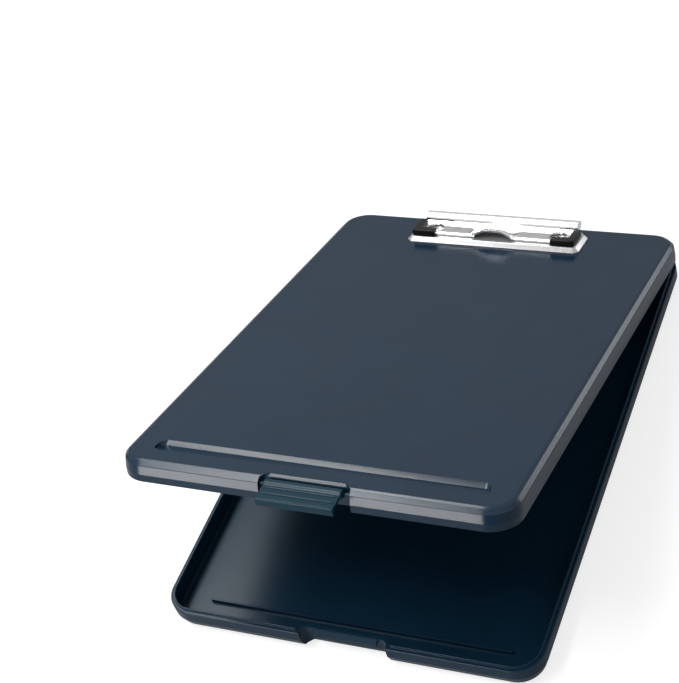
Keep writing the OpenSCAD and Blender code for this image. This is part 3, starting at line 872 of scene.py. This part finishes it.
@dataclass(frozen=True)
class Barrel:
    """The hinge barrel's section, which the tray and the lid's knuckles share."""

    radius: float = 2.6
    bore: float = 1.25
    web_height: float = 5.4
    web: Pair = (-0.1, -1.7)

    def grid(self, x0: float, x1: float, up: float) -> Array:
        """A stretch of the barrel with its web and bore.

        Args:
            x0: Its left end.
            x1: Its right end.
            up: 1 for a web that rises from the barrel, -1 for one that hangs below it.

        Returns:
            A grid as (4, points, 3), closed both ways.
        """
        outline = np.concatenate([arc((0.0, 0.0), self.radius, 150.0, 390.0, 49),
                                  [[y, self.web_height] for y in self.web]]) * (1.0, up)
        hole = self.bore * unit(outline)
        return np.stack([across(ring + REST.hinge, x)
                         for ring, x in ((outline, x0), (outline, x1), (hole, x1), (hole, x0))])


@dataclass
class Assembly:
    """A sub-assembly of the box, with the materials that dress its pieces."""

    finishes: Finishes

    def build(self) -> None:
        """Builds every piece. Each sub-assembly gives its own."""
        raise NotImplementedError


@dataclass
class LidShell(Assembly):
    """The writing lid: bevelled walls, latch notch, pen groove, stiffening ribs and hinge knuckles."""

    bottom: float = 14.9
    relief_z: float = 16.736
    band_low: float = 17.5
    crest: float = 19.7
    shoulder: float = 25.1
    bevel_top: float = 27.2
    top: float = 28.0
    under: float = 25.8
    wall: float = 2.0
    lean: float = 0.8
    bevel: float = 2.3
    band: float = 2.0
    land: float = 9.0
    groove_y: float = -149.5
    groove_half: float = 101.5
    groove_width: float = 11.0
    groove_tip: float = 12.0
    near_tip: Pair = (3.0, 3.6)
    far_tip: Pair = (8.0, 5.0)
    deep_tip: float = 3.0
    slab_z: float = 23.2
    slab_y: tuple[float, ...] = (-6.9, -6.1, -0.1, 3.5)
    rib_x: Pair = (43.3, 44.7)
    rib_y: Pair = (-138.0, 130.5)
    rib_foot: float = 23.8
    sunk: float = 0.05
    notch_slope: float = 2.0
    slope_z: Pair = (26.1, 28.3)
    knuckle_x: float = 82.0
    knuckle_half: float = 6.0

    def section(self) -> tuple[Array, Array]:
        """The wall's section from the underside, down inside, up outside and onto the top.

        Returns:
            The points, and the number of the corner at each.
        """
        face, inside = PATH.corner, PATH.corner - self.wall
        edge = face - self.lean - self.bevel
        corners = np.array([[self.land, self.under], [inside - self.lean, self.under], [inside, self.crest],
                            [inside, self.relief_z], [inside, self.bottom], [face, self.bottom],
                            [face, self.band_low], [face, self.crest], [face - self.lean, self.shoulder],
                            [edge, self.bevel_top], [edge - self.band, self.top], [self.land, self.top]])
        return traced(corners, np.array([0.02, 2.0, 1.0, 0.1, 0.3, 0.45, 0.1, 1.6, 0.6, 0.7, 3.4, 0.02]))

    def groove_columns(self) -> tuple[Array, Array, Array, Array]:
        """The groove's plan, which both of its edges narrow to a tip at each end.

        Returns:
            x, near edge, far edge and share of depth at each column.
        """
        half, wide = self.groove_half, self.groove_width / 2
        end = half - self.groove_tip * (1 - np.linspace(0.0, 1.0, 22)) ** 1.6
        x = np.concatenate([-end[::-1], np.linspace(-end[0], end[0], 41)[1:-1], end])
        away = half - np.abs(x)
        near = self.groove_y - wide + self.near_tip[0] * quarter(1 - away / self.near_tip[1])
        far = self.groove_y + wide - self.far_tip[0] * quarter(1 - away / self.far_tip[1])
        return x, near, far, 1 - quarter(1 - away / self.deep_tip)

    def groove(self) -> Array:
        """The groove: a steep near wall, a flat floor, a short riser and a far slope like the bevel.

        Returns:
            Points as (across, along, 3).
        """
        corners = np.array([[-2.0, 0.0], [0.0, 0.0], [0.9, -3.2], [8.2, -3.2], [8.4, -2.2], [11.0, 0.0],
                            [13.0, 0.0], [13.0, 5.0], [-2.0, 5.0]])
        radii = np.array([0.02, 0.5, 0.6, 0.25, 0.25, 0.4, 0.02, 0.02, 0.02])
        rows = eased_outline(corners, radii).reshape(len(corners), -1, 2)[1:6].reshape(-1, 2)
        rows[[0, -1], 1] = 0.0
        x, near, far, deep = self.groove_columns()
        share = ((rows[:, 0] - rows[0, 0]) / (rows[-1, 0] - rows[0, 0]))[:, None]
        return np.stack([x + 0 * share, near + (far - near) * share, self.top + rows[:, 1:] * deep], axis=-1)

    def build_shell(self) -> None:
        """Builds the shell: walls round the case, and a top in two flat faces that meet at the groove."""
        shell = Piece("lid_case", Slot.BODY, "lid", "lid_shell")
        section, number = self.section()
        # Corners 0 to 4 lie inside. The relief over the barrel runs from corner 3 to corner 6.
        inner = number < 4.5
        rise = (section[:, 1] - self.slope_z[0]) / (self.slope_z[1] - self.slope_z[0])
        slope = np.where(inner, 0.0, self.notch_slope * ease(rise) ** 0.8)
        walls = PATH.swept(section, number, inner, slope, (3.0, 6.0, 41.81, 0.0), lip_z=self.top)
        hold = (number < 3.0)[:, None] & PATH.columns()["gap"]
        walls[..., 2] = np.where(hold, np.maximum(walls[..., 2], self.relief_z), walls[..., 2])
        groove = self.groove()
        front, rear = PATH.split(walls[-1])
        shell.grid(walls, close_cols=True)
        shell.flat(once(walls[0]))
        shell.flat(once(np.concatenate([front, groove[0, ::-1]])))
        shell.flat(once(np.concatenate([rear, groove[-1]])))
        shell.grid(groove)
        shell.finish(self.finishes, sharp=CASE_SHARP)

    def build(self) -> None:
        """Builds the shell, the groove's floor and the long ribs under it, and the knuckles."""
        self.build_shell()
        parts = Piece("lid_inner_parts", Slot.BODY, "lid", "lid_shell")
        z, low, foot = self.under + self.sunk, self.slab_z, self.rib_foot
        slab = np.column_stack([self.groove_y + np.array(self.slab_y), (z, low, low, z)])
        parts.tower(bar(slab, np.array([0.05, 0.6, 0.6, 0.05]), self.groove_half + 1.5, 0.6))
        (x0, x1), (y0, y1) = self.rib_x, self.rib_y
        thick, meet = x1 - x0, x0 + 2 * self.sunk
        steps = [(0.0, z), (0.0, foot + 0.3), (0.1, foot + 0.1), (0.3, foot)]
        for sides in ((x0, x1, y0, y1), (-x1, -x0, y0, y1), (-meet, meet, y0, y0 + thick),
                      (-meet, meet, y1 - thick, y1)):
            parts.tower(stacked(oblong(*sides), 0.35, steps, 3))
        for side, _ in SIDES:
            middle = side * self.knuckle_x
            grid = Barrel().grid(middle - self.knuckle_half, middle + self.knuckle_half, 1.0)
            parts.grid(grid, close_rows=True, close_cols=True)
        parts.finish(self.finishes, sharp=CASE_SHARP)


@dataclass
class TrayShell(Assembly):
    """The bottom tray: tapered walls, lip, latch recess with its ledge, paper stop and hinge barrel."""

    top: float = 14.5
    floor: float = 2.0
    taper_top: float = 7.0
    taper: float = 2.6
    lip: float = 1.4
    lip_out: float = 15.7
    inner: float = 14.6
    foot: float = 1.8
    stop_half: float = 97.5
    stop_y: Pair = (-151.3, -149.7)
    stop_height: float = 2.6
    ledge_half: float = 20.3
    ledge_z: tuple[float, ...] = (10.4, 10.9, 13.0)
    sunk: float = 0.5
    notch_slope: float = 1.3
    slope_top: float = 4.0
    barrel_half: float = 75.6

    def section(self) -> tuple[Array, Array]:
        """The wall's section from the foot, up outside, over the rim and lip, and down inside.

        Returns:
            The points, and the number of the corner at each.
        """
        face, land, crest = PATH.corner, self.inner - self.foot - 1.0, self.top + self.lip
        corners = np.array([[land, 0.0], [face - self.taper, 0.0], [face, self.taper_top],
                            [face, self.top - 3.0], [face, self.top], [self.lip_out, self.top],
                            [self.lip_out, crest],
                            [self.inner, crest], [self.inner - 0.3, self.floor], [land, self.floor]])
        return traced(corners, np.array([0.02, 0.9, 1.2, 0.1, 0.6, 0.15, 0.4, 0.5, self.foot, 0.02]))

    def build(self) -> None:
        """Builds the shell, and its stop, ledge and barrel."""
        shell = Piece("tray_case", Slot.BODY_DARK, "tray", "tray_shell")
        section, number = self.section()
        # Corners from 7 on lie inside. The relief round the barrel runs from corner 3 to past 6.
        inner = number > 6.5
        rise = np.clip(section[:, 1] / self.slope_top, 0, 1)
        slope = np.where(inner, 0.0, self.notch_slope * (1 - rise))
        walls = PATH.swept(section, number, inner, slope, (3.0, 6.4, 180.0, 90.0), lip_z=self.top)
        shell.grid(walls, close_cols=True)
        shell.flat(once(walls[0]))
        shell.flat(once(walls[-1]))
        shell.finish(self.finishes, sharp=CASE_SHARP)
        parts = Piece("tray_inner_parts", Slot.BODY_DARK, "tray", "tray_shell")
        crest = self.floor + self.stop_height
        steps = [(0.0, self.floor - 0.1), (0.0, crest - 0.5), (0.12, crest - 0.2), (0.4, crest)]
        parts.tower(stacked(oblong(-self.stop_half, self.stop_half, *self.stop_y), 0.78, steps, 5))
        front, rear, back = REST.latch[0], PATH.notch_back, PATH.notch_back + self.sunk
        z, low, high = self.ledge_z
        ledge = np.array([[front, z], [front, low], [rear, high], [back, high], [back, z]])
        parts.tower(bar(ledge, np.array([0.25, 0.25, 0.05, 0.05, 0.05]), self.ledge_half, 0.25))
        parts.grid(Barrel().grid(-self.barrel_half, self.barrel_half, -1.0), close_rows=True, close_cols=True)
        parts.finish(self.finishes, sharp=CASE_SHARP)


@dataclass
class ClipPart(Assembly):
    """Sizes that the clip's pieces share."""

    rod: Pair = (156.3, 34.0)
    rivet: Pair = (44.0, 142.5)
    seat: float = 28.0
    base_top: float = 31.0
    sheet: float = 1.2
    ridge: float = 4.5
    lever_half: float = 54.5
    lever_front: float = 135.4
    lever_top: float = 33.4


@dataclass
class ClipBase(ClipPart):
    """The pressed base plate: a pan with a steep bevel, two cups and two ears for the rod."""

    half: float = 61.0
    front: float = 128.6
    rear: float = 161.0
    bevel: float = 3.0
    chamfer: float = 7.0
    eased: float = 3.0
    cup_radius: float = 7.2
    ear_x: float = 49.5
    ear_half: float = 0.6
    ear_radius: float = 2.4

    def skirt_rings(self) -> Array:
        """The bevel from the lid up to the pan's top.

        Returns:
            Rings along the plan outline, with eased front corners and chamfered rear ones.
        """
        w, top, seat, b = self.half, self.base_top, self.seat, self.bevel
        right = np.array([[w - self.eased, self.front], [w, self.front + self.eased], [w, self.rivet[1]],
                          [w, self.rear - self.chamfer * 1.15], [w - self.chamfer, self.rear]])
        steps = [(0.18, seat), (0.0, seat + 0.16), (0.02, seat + 0.34), (b - 0.75, top - 0.42),
                 (b - 0.4, top - 0.14), (b + 0.1, top)]
        return stacked(np.concatenate([right, right[::-1] * (-1.0, 1.0)]), 0.8, steps, 4)

    def cup(self, side: int) -> Array:
        """One cup: a rounded brim, a sloped wall and a flat floor under the rivet.

        Args:
            side: -1 for the left cup, 1 for the right one.

        Returns:
            A grid as (rings, turns, 3).
        """
        floor, top, r = self.seat + self.sheet, self.base_top, self.cup_radius
        profile = np.array([[r, top], [r - 0.3, top - 0.06], [r - 0.6, top - 0.26], [r - 1.25, floor + 0.5],
                            [r - 1.6, floor + 0.14], [r - 2.1, floor], [2.0, floor]])
        return spun(profile, (side * self.rivet[0], self.rivet[1]), 64)

    def top_faces(self) -> tuple[Array, Array]:
        """The flat top, as a front and a rear face that meet on the cups' centre line.

        Returns:
            The rings of both faces.
        """
        rim, cut, ring = self.skirt_rings()[-1], self.rivet[1], self.cup(1)[0]
        rim = rim[np.argsort(np.arctan2(rim[:, 1] - cut, rim[:, 0]))]
        right = np.array([[rim[:, 0].max(), cut, rim[0, 2]]])
        left, to_left = right * (-1, 1, 1), np.array([-2 * self.rivet[0], 0.0, 0.0])
        under, over = np.concatenate([ring[:1], ring[:31:-1]]), ring[32::-1]
        return (np.concatenate([rim[rim[:, 1] < cut - 1e-6], right, under, under + to_left, left]),
                np.concatenate([rim[rim[:, 1] > cut + 1e-6], left, over + to_left, over, right]))

    def build(self) -> None:
        """Builds the pan as one sheet, and the ears as a second, closed piece."""
        pan = Piece("clip_base_pan", Slot.CHROME, "lid", "clip_base")
        pan.grid(self.skirt_rings(), close_cols=True)
        for side, _ in SIDES:
            pan.grid(self.cup(side), close_cols=True)
        for face in self.top_faces():
            pan.flat(face)
        pan.finish(self.finishes, sheet=self.sheet, sharp=28.0, finish=SATIN)
        ears = Piece("clip_base_ears", Slot.CHROME, "lid", "clip_base")
        y, r, foot = self.rod[0], self.ear_radius, self.base_top - 1.0
        outline = np.concatenate([[[y - r, foot], [y + r, foot]], arc(self.rod, r, 0.0, 180.0, 25)])
        for side, _ in SIDES:
            stops = side * self.ear_x + np.array([-self.ear_half, self.ear_half])
            ears.tower(np.stack([across(outline, x) for x in stops]))
        ears.finish(self.finishes, rounding=0.12)


@dataclass
class ClipLever(ClipPart):
    """The sprung lever: a rolled ridge over the rod, a flat plate with a finger arch, and a jaw."""

    plate_rear: float = 151.8
    jaw_foot: float = 31.35
    jaw_out: float = 0.7
    jaw_half: float = 41.0
    arch_half: float = 18.0
    arch_height: float = 4.7
    arch_reach: float = 10.5
    hole: float = 5.7
    square: float = 7.2
    square_y: float = 143.6
    boss: float = 2.6
    arm: Pair = (0.3, 2.0)
    arm_depth: float = 1.1

    def columns(self) -> Array:
        """The x of every column: fine over the arch and beside the holes.

        Returns:
            The x from left to right.
        """
        low, high, arch_to = self.rivet[0] - self.square, self.rivet[0] + self.square, 20.0
        right = np.concatenate([np.linspace(0, arch_to, 61)[:-1], np.linspace(arch_to, low, 17)[:-1],
                                np.linspace(low, high, 17)[:-1], np.linspace(high, self.lever_half, 4)])
        return np.concatenate([-right[:0:-1], right])

    def swell(self, x: Array) -> Array:
        """Height of the finger arch across x: full over the middle, then eased to nothing."""
        return 1 - ease((np.abs(x) / self.arch_half - 0.22) / 0.78)

    def raised(self, points: Array) -> Array:
        """Lifts the plate into the arch, by swell times an ease from the plate's depth to its front.

        Args:
            points: Points as (rows, columns, 3).

        Returns:
            The lifted points.
        """
        depth = ease((self.lever_front + self.arch_reach - points[..., 1]) / self.arch_reach) ** 1.15
        lift = self.arch_height * self.swell(points[..., 0]) * depth
        return points + np.stack([0 * lift, 0 * lift, lift], axis=-1)

    def ridge_rows(self, x: Array) -> Array:
        """The rolled ridge, from its rear edge over the top and down to the plate.

        Args:
            x: The columns.

        Returns:
            Points as (rows, columns, 3).
        """
        over = arc(self.rod, self.ridge, 0.0, 174.0, 33)
        b, rear = np.radians(np.linspace(0.0, 90.0, 7)), self.square_y + self.square
        foot = np.column_stack([rear + (over[-1, 0] - rear) * np.cos(b),
                                self.lever_top + (over[-1, 1] - self.lever_top) * (1 - np.sin(b))])
        return carried(np.concatenate([over[:-1], foot]), x)

    def front_rows(self, x: Array) -> Array:
        """The front edge: turned down into the jaw, and run straight out as a lip under the arch.

        Each point is the jaw's point times one less w plus the lip's point times w, where w is 1
        under the arch and at the grips, and 0 between them.

        Args:
            x: The columns.

        Returns:
            Points as (rows, columns, 3).
        """
        start, bent = self.square_y - self.square, 0.6
        t = np.linspace(0.0, 1.0, 10)
        bend = np.radians(np.clip(t / bent, 0, 1) * 90)
        r = start - (self.lever_front - self.jaw_out)
        jaw = np.column_stack([start - r * np.sin(bend), self.lever_top - r * (1 - np.cos(bend))])
        jaw[:, 1] -= np.clip((t - bent) / (1 - bent), 0, 1) * (self.lever_top - r - self.jaw_foot)
        lip = carried(np.column_stack([start - t * (r + 1.2), np.full(10, self.lever_top)]), x)
        lip[..., 1] += t[:, None] * ease(np.abs(x) - self.jaw_half)[None, :]
        w = np.maximum(ease((self.swell(x) - 0.02) / 0.3), ease((np.abs(x) - self.jaw_half + 1.0) / 0.8))
        return carried(jaw, x) * (1 - w)[:, None] + self.raised(lip) * w[:, None]

    def hole_patch(self, side: int) -> Array:
        """A square with a round hole: each boundary point joined to the hole's rim at the same share.

        Args:
            side: -1 for the left hole, 1 for the right one.

        Returns:
            A grid as (5, 64, 3), closed along its rows.
        """
        u, one = np.linspace(-1.0, 1.0, 17)[:-1], np.ones(16)
        edges = ((u, -one), (one, u), (-u, one), (-one, -u))
        edge = np.concatenate([np.column_stack(pair) for pair in edges])
        x = side * self.rivet[0]
        outer = edge * self.square + (x, self.square_y)
        inner = arc((x, self.rivet[1]), self.hole, -135.0, 219.375, 64)
        t = np.linspace(0.0, 1.0, 5)[:, None, None]
        flat = outer[None] * (1 - t) + inner[None] * t
        return np.concatenate([flat, np.full(flat.shape[:2] + (1,), self.lever_top)], axis=-1)

    def plate_rows(self, x: Array) -> Array:
        """The flat plate between ridge and front edge, over some columns."""
        y = np.linspace(self.square_y + self.square, self.square_y - self.square, 17)
        return self.raised(carried(np.column_stack([y, np.full(17, self.lever_top)]), x))

    def end_outline(self) -> Array:
        """An end plate: a half disc over the rod, its boss below, and an arm down to the plate.

        Returns:
            The outline's (y, z) points.
        """
        arm = [[self.plate_rear + y, self.lever_top - self.arm_depth] for y in self.arm]
        return np.concatenate([arc(self.rod, self.ridge - 0.25, 0, 180, 25), arm,
                               arc(self.rod, self.boss, 205, 335, 15)])

    def build(self) -> None:
        """Builds the lever as one sheet, and its end plates as a closed piece."""
        lever = Piece("clip_lever_sheet", Slot.CHROME, "clip", "clip_lever")
        x = self.columns()
        lever.grid(self.ridge_rows(x), flip=True)
        low, high = self.rivet[0] - self.square, self.rivet[0] + self.square
        for start, end in ((-self.lever_half, -high), (-low, low), (high, self.lever_half)):
            lever.grid(self.plate_rows(x[(x >= start - 1e-6) & (x <= end + 1e-6)]), flip=True)
        for side, _ in SIDES:
            lever.grid(self.hole_patch(side), close_cols=True)
        lever.grid(self.front_rows(x), flip=True)
        lever.finish(self.finishes, closed=False, sheet=self.sheet, rounding=0.14, sharp=40.0)
        ends = Piece("clip_lever_ends", Slot.CHROME, "clip", "clip_lever")
        for side, _ in SIDES:
            stops = side * (self.lever_half - np.array([self.sheet, 0.02]))
            ends.tower(np.stack([across(self.end_outline(), stop) for stop in stops]))
        ends.finish(self.finishes, rounding=0.12)


@dataclass
class ClipFittings(ClipPart):
    """Rivets, springs and rubber grips of the clip."""

    dimple: tuple[Pair, ...] = ((0.0, 0.5), (0.5, 0.52), (0.95, 0.7), (1.35, 1.15), (1.7, 1.42),
                                (2.1, 1.52), (2.6, 1.51))
    flange: tuple[Pair, ...] = ((2.0, 0.0), (3.3, 0.0), (3.3, -0.5), (2.9, -1.0), (0.0, -1.0))
    flange_drop: float = 3.0
    wire: float = 0.8
    pitch: float = 0.92
    coil_bore: float = 1.75
    turns: float = 5.0
    spring_x: float = 26.0
    grip_out: Pair = (3.0, 4.0)
    grip_long: Pair = (16.2, 18.8)
    grip_wide: Pair = (5.0, 6.1)

    @staticmethod
    def lobes(radius: Array, angle: Array) -> Array:
        """Three shallow dents round the dimple: a bell of radius times a cosine of three angles."""
        return -0.32 * np.exp(-(((radius - 1.9) / 0.6) ** 2)) * np.clip(np.cos(3 * angle), 0, 1)

    def rivet_profile(self) -> Array:
        """The rivet from the dimple over its dome, down its shank and out to the backing flange.

        Returns:
            Radii and heights.
        """
        t = np.radians(np.linspace(0, 90, 9))
        dome = np.column_stack([3.1 + 1.1 * np.sin(t), 0.45 + 1.0 * np.cos(t)])
        head = np.concatenate([self.dimple, dome, [[4.2, 0.0], [2.0, 0.0]]])
        return np.concatenate([head + (0.0, self.seat + self.sheet),
                               np.array(self.flange) + (0.0, self.seat - self.flange_drop)])

    def coil(self) -> Array:
        """A spring's route: a leg on the base, five turns round the rod, and a leg up to the ridge.

        Returns:
            Points about the rod as (n, 3).
        """
        wire, r = self.wire, self.coil_bore + self.wire / 2
        a = np.radians(np.linspace(0, 360 * self.turns + 150, 260))
        turns = np.column_stack([self.pitch * a / (2 * np.pi), r * np.sin(a), -r * np.cos(a)])
        foot = self.base_top + wire / 2 + 0.05 - self.rod[1]
        roof = self.ridge - self.sheet - wire / 2 - 0.2
        tip = [[turns[-1, 0] + wire * 0.4, roof * 0.72, roof * 0.69]]
        return np.concatenate([[[0.0, r + 0.4, foot], [0.0, r * 0.5, foot]], turns, tip])

    def grip_rings(self) -> Array:
        """The right grip: an L in plan, with eased top and bottom edges.

        Returns:
            Rings along the L.
        """
        x, y = self.lever_half + self.grip_out[0], self.lever_front - self.grip_out[1]
        left, rear = x - self.grip_long[0], y + self.grip_long[1]
        inner_x, inner_y = x - self.grip_wide[0], y + self.grip_wide[1]
        corners = np.array([[left, y], [x, y], [x, rear], [inner_x, rear], [inner_x, inner_y],
                            [left, inner_y]])
        low, high = self.base_top + 0.2, self.lever_top + 2.4
        steps = [(0.5, low), (0.15, low + 0.12), (0.0, low + 0.45), (0.0, high - 0.9), (0.1, high - 0.5),
                 (0.4, high - 0.15), (0.9, high)]
        return stacked(corners, np.array([1.0, 2.0, 1.0, 1.0, 0.6, 1.0]), steps)

    def build(self) -> None:
        """Builds both rivets, both springs and both grips."""
        for side, name in SIDES:
            rivet = Piece("rivet_" + name, Slot.RIVET, "lid", "clip_rivet_" + name)
            centre = (side * self.rivet[0], self.rivet[1])
            rivet.grid(spun(self.rivet_profile(), centre, 72, self.lobes), close_cols=True)
            rivet.finish(self.finishes, sharp=50.0)
            spring = Piece("spring_" + name, Slot.SPRING, "lid", "clip_spring_" + name)
            start = np.array([side * self.spring_x - self.pitch * self.turns / 2, *self.rod])
            spring.tower(tube(self.coil() + start, self.wire / 2))
            spring.finish(self.finishes, sharp=60.0)
            grip = Piece("grip_" + name, Slot.RUBBER, "clip", "corner_grip_" + name)
            grip.tower(self.grip_rings() * (side, 1.0, 1.0))
            grip.finish(self.finishes)


@dataclass
class LatchFlap(Assembly):
    """The latch flap: a pivot barrel, a ribbed face and a hook along the lower edge."""

    barrel: float = 2.2
    face: float = -169.5
    thick: float = 2.2
    foot: float = 7.8
    hook_height: float = 2.2
    hook_reach: float = 3.0
    neck: float = 3.4
    half: float = 23.3
    ribs: int = 3
    rib: float = 0.6
    rib_pitch: float = 4.6
    rib_in: float = 2.0
    rib_fade: float = 0.45
    roll: float = 1.1
    roll_drop: float = 4.3
    roll_over: float = 1.8
    brow: float = 1.5
    brow_drop: float = 1.4
    brow_over: float = 2.0
    edge: float = 0.35

    def section(self, proud: float) -> Array:
        """The closed section, clockwise: barrel, flat back, hook, foot, and a face with round ribs.

        The face stands out from its line by rib times the root of one less u squared, where u is
        the distance from the nearest rib's middle over its half width. At the pivot it rises by
        roll times an ease, and falls off again by brow times a quarter of an ellipse.

        Args:
            proud: Share of the ribs' height.

        Returns:
            The section's (y, z) points.
        """
        z, face, foot, back = REST.latch[1], self.face, self.foot, self.face + self.thick
        hook, step = back + self.hook_reach, self.foot + self.hook_height
        under = z - self.neck
        corners = np.array([[face, foot], [hook, foot], [hook, step], [back, step], [back, under],
                            [face, under]])
        lower = eased_outline(corners, np.array([0.5, 0.9, 0.4, 0.5, 0.3, 0.3]), 0.0, 5)[:24]
        heights = np.linspace(foot + 0.55, z + 0.6, 190)
        middles = foot + self.rib + 0.2 + self.rib_pitch * np.arange(self.ribs)
        u = np.abs(heights[:, None] - middles[None, :]) / self.rib
        out = ((1 - quarter(u)) * self.rib).max(axis=1) * proud
        out = out + self.roll * ease((heights - z + self.roll_drop) / self.roll_over)
        out = out - self.brow * quarter((heights - z + self.brow_drop) / self.brow_over)
        return np.concatenate([arc(REST.latch, self.barrel, 152.0, -60.0, 40), [[back, z - 3.6]], lower[::-1],
                               np.column_stack([face - out, heights])])

    def rings(self) -> Array:
        """Rings along x. The ribs fade out short of the ends, and the ends are rounded.

        Returns:
            Rings as (rings, points, 3).
        """
        insets, ends = rounded_end(self.half, self.edge)
        fade = self.half - self.rib_in - np.linspace(-self.rib_fade, self.rib_fade, 7)
        proud = np.concatenate([np.zeros(4), 1 - quarter(1 - np.linspace(0, 1, 7))])
        left = []
        stops, insets = np.concatenate([ends, fade]), np.concatenate([insets, np.zeros(7)])
        for x, inset, share in zip(stops, insets, proud):
            section = self.section(share)
            run = np.roll(section, -1, axis=0) - np.roll(section, 1, axis=0)
            left.append(across(section + unit(np.stack([run[:, 1], -run[:, 0]], axis=-1)) * inset, -x))
        return np.stack(left + [ring * (-1, 1, 1) for ring in left[::-1]])

    def build(self) -> None:
        """Builds the flap as one closed tower of rings."""
        flap = Piece("latch_ribbed_flap", Slot.LATCH, "latch", "latch_flap")
        flap.tower(self.rings())
        flap.finish(self.finishes)


@dataclass
class Studio:
    """Pale floor, white surround and four soft lamps.

    halo and the skies hold two distances or heights, and the brightness at each.
    """

    floor_half: float = 7.0
    floor_z: float = -0.0006
    floor_colour: Colour = (0.38, 0.383, 0.388, 1.0)
    floor_glow: float = 0.08
    halo: tuple[float, ...] = (0.5, 1.8, 0.66, 0.9)
    low_sky: tuple[float, ...] = (0.03, 0.22, 0.12, 0.72)
    high_sky: tuple[float, ...] = (0.4, 0.8, 0.0, 0.28)
    fill: float = 0.42
    lamps: tuple[tuple[str, Triple, Triple, Pair, float], ...] = (
        ("overhead_front", (-0.68, -0.47, 1.5), (0.0, -0.1, 0.1), (0.8, 0.3), 13.0),
        ("overhead_rear", (-0.72, 0.54, 1.5), (0.0, -0.1, 0.1), (0.8, 0.3), 13.0),
        ("front_strip", (-0.64, -1.5, 0.13), (0.0, -0.15, 0.12), (0.85, 0.24), 10.0),
        ("back_right", (1.0, 1.6, 0.2), (0.1, 0.0, 0.08), (0.7, 0.34), 3.6))

    def build(self) -> None:
        """Makes the world, the floor and the lamps."""
        self.build_world()
        self.build_floor()
        for row in self.lamps:
            self.lamp(*row)
        bpy.context.scene.view_settings.view_transform = "Standard"

    @staticmethod
    def seen(w: Wiring) -> tuple[Socket, Socket]:
        """Masks of the rays that see the surround, and that are no fill light.

        Args:
            w: The wiring of the world or the floor.

        Returns:
            1 where the camera, metal or glass looks, and 1 where the camera does.
        """
        path = w.add("LightPath").outputs
        glossy = w.math("MAXIMUM", path["Is Camera Ray"], path["Is Glossy Ray"])
        return w.math("MAXIMUM", glossy, path["Is Transmission Ray"]), path["Is Camera Ray"]

    def build_world(self) -> None:
        """White where the camera looks, paler with height in metal or glass, and grey as fill light."""
        world = bpy.data.worlds.new("surround")
        world.use_nodes = True
        world.node_tree.nodes.clear()
        w = Wiring(world.node_tree)
        seen, camera = self.seen(w)
        height = w.add("SeparateXYZ", {"Vector": w.add("TexCoord").outputs["Generated"]}).outputs["Z"]
        shown = w.plus(w.span(height, *self.low_sky), w.span(height, *self.high_sky))
        shown = w.times(seen, w.math("MAXIMUM", shown, camera))
        strength = w.plus(w.times(w.math("SUBTRACT", 1.0, seen), self.fill), shown)
        sky = w.add("Background", {"Color": WHITE, "Strength": strength})
        w.add("OutputWorld", {"Surface": sky.outputs[0]})
        bpy.context.scene.world = world

    def build_floor(self) -> None:
        """A large square under the case, in a pale paint that runs out to white for the camera."""
        half = self.floor_half
        mesh = bpy.data.meshes.new("floor")
        corners = [(x, y, self.floor_z) for x, y in oblong(-half, half, -half, half)]
        mesh.from_pydata(corners, [], [(0, 1, 2, 3)])
        floor = bpy.data.objects.new("floor", mesh)
        bpy.context.scene.collection.objects.link(floor)
        paint = bpy.data.materials.new("floor_paint")
        paint.use_nodes = True
        w = MaterialWiring(paint.node_tree, {})
        seen, camera = self.seen(w)
        away = w.add("VectorMath", {0: w.place}, operation="LENGTH").outputs["Value"]
        glow = w.plus(w.times(seen, self.floor_glow), w.times(camera, w.span(away, *self.halo)))
        surface = {"Base Color": self.floor_colour, "Roughness": 0.6, "Emission Color": WHITE,
                   "Emission Strength": glow}
        w.give(paint.node_tree.nodes["Principled BSDF"], surface)
        mesh.materials.append(paint)

    @staticmethod
    def lamp(name: str, place: Triple, aim: Triple, size: Pair, watts: float) -> None:
        """Adds one rectangular soft lamp that faces a point.

        Args:
            name: Name of the lamp.
            place: Where it stands, in metres.
            aim: The point it faces.
            size: Its width and height.
            watts: Its power.
        """
        data = bpy.data.lights.new(name, "AREA")
        data.shape, data.size, data.size_y, data.energy = "RECTANGLE", size[0], size[1], watts
        back = unit(np.subtract(place, aim))
        side = unit(np.cross((0.0, 0.0, 1.0), back))
        stand(data, place, (side, np.cross(back, side), back))


def main() -> None:
    """Loads the frame, builds the studio and the sub-assemblies in order, and logs each piece."""
    logging.basicConfig(level=logging.INFO, format="%(name)s: %(message)s")
    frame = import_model()
    Studio().build()
    PhotoCamera().build()
    effects = {name: shared_effect(name, numbers, wire) for name, numbers, wire in (
        ("moulded_grain", {"Pitch": 0.0005}, wire_grain), ("handling_marks", {"Amount": 0.5}, wire_handling),
        ("drawn_lines", {}, wire_drawn))}
    finishes = {slot.value[0]: slot.value[1].build(effects) for slot in Slot}
    finishes[SATIN.name] = SATIN.build(effects)
    slots = {part["node"]: part["material_slot"] for part in frame["record"]["subparts"]}
    for name, node in frame["nodes"].items():
        node.data.materials.clear()
        node.data.materials.append(finishes[slots[name]])
        LOG.info("%s carries %s", name, slots[name])
    for kind in (TrayShell, LidShell, ClipBase, ClipLever, ClipFittings, LatchFlap):
        kind(finishes).build()


if __name__ == "__main__":
    main()
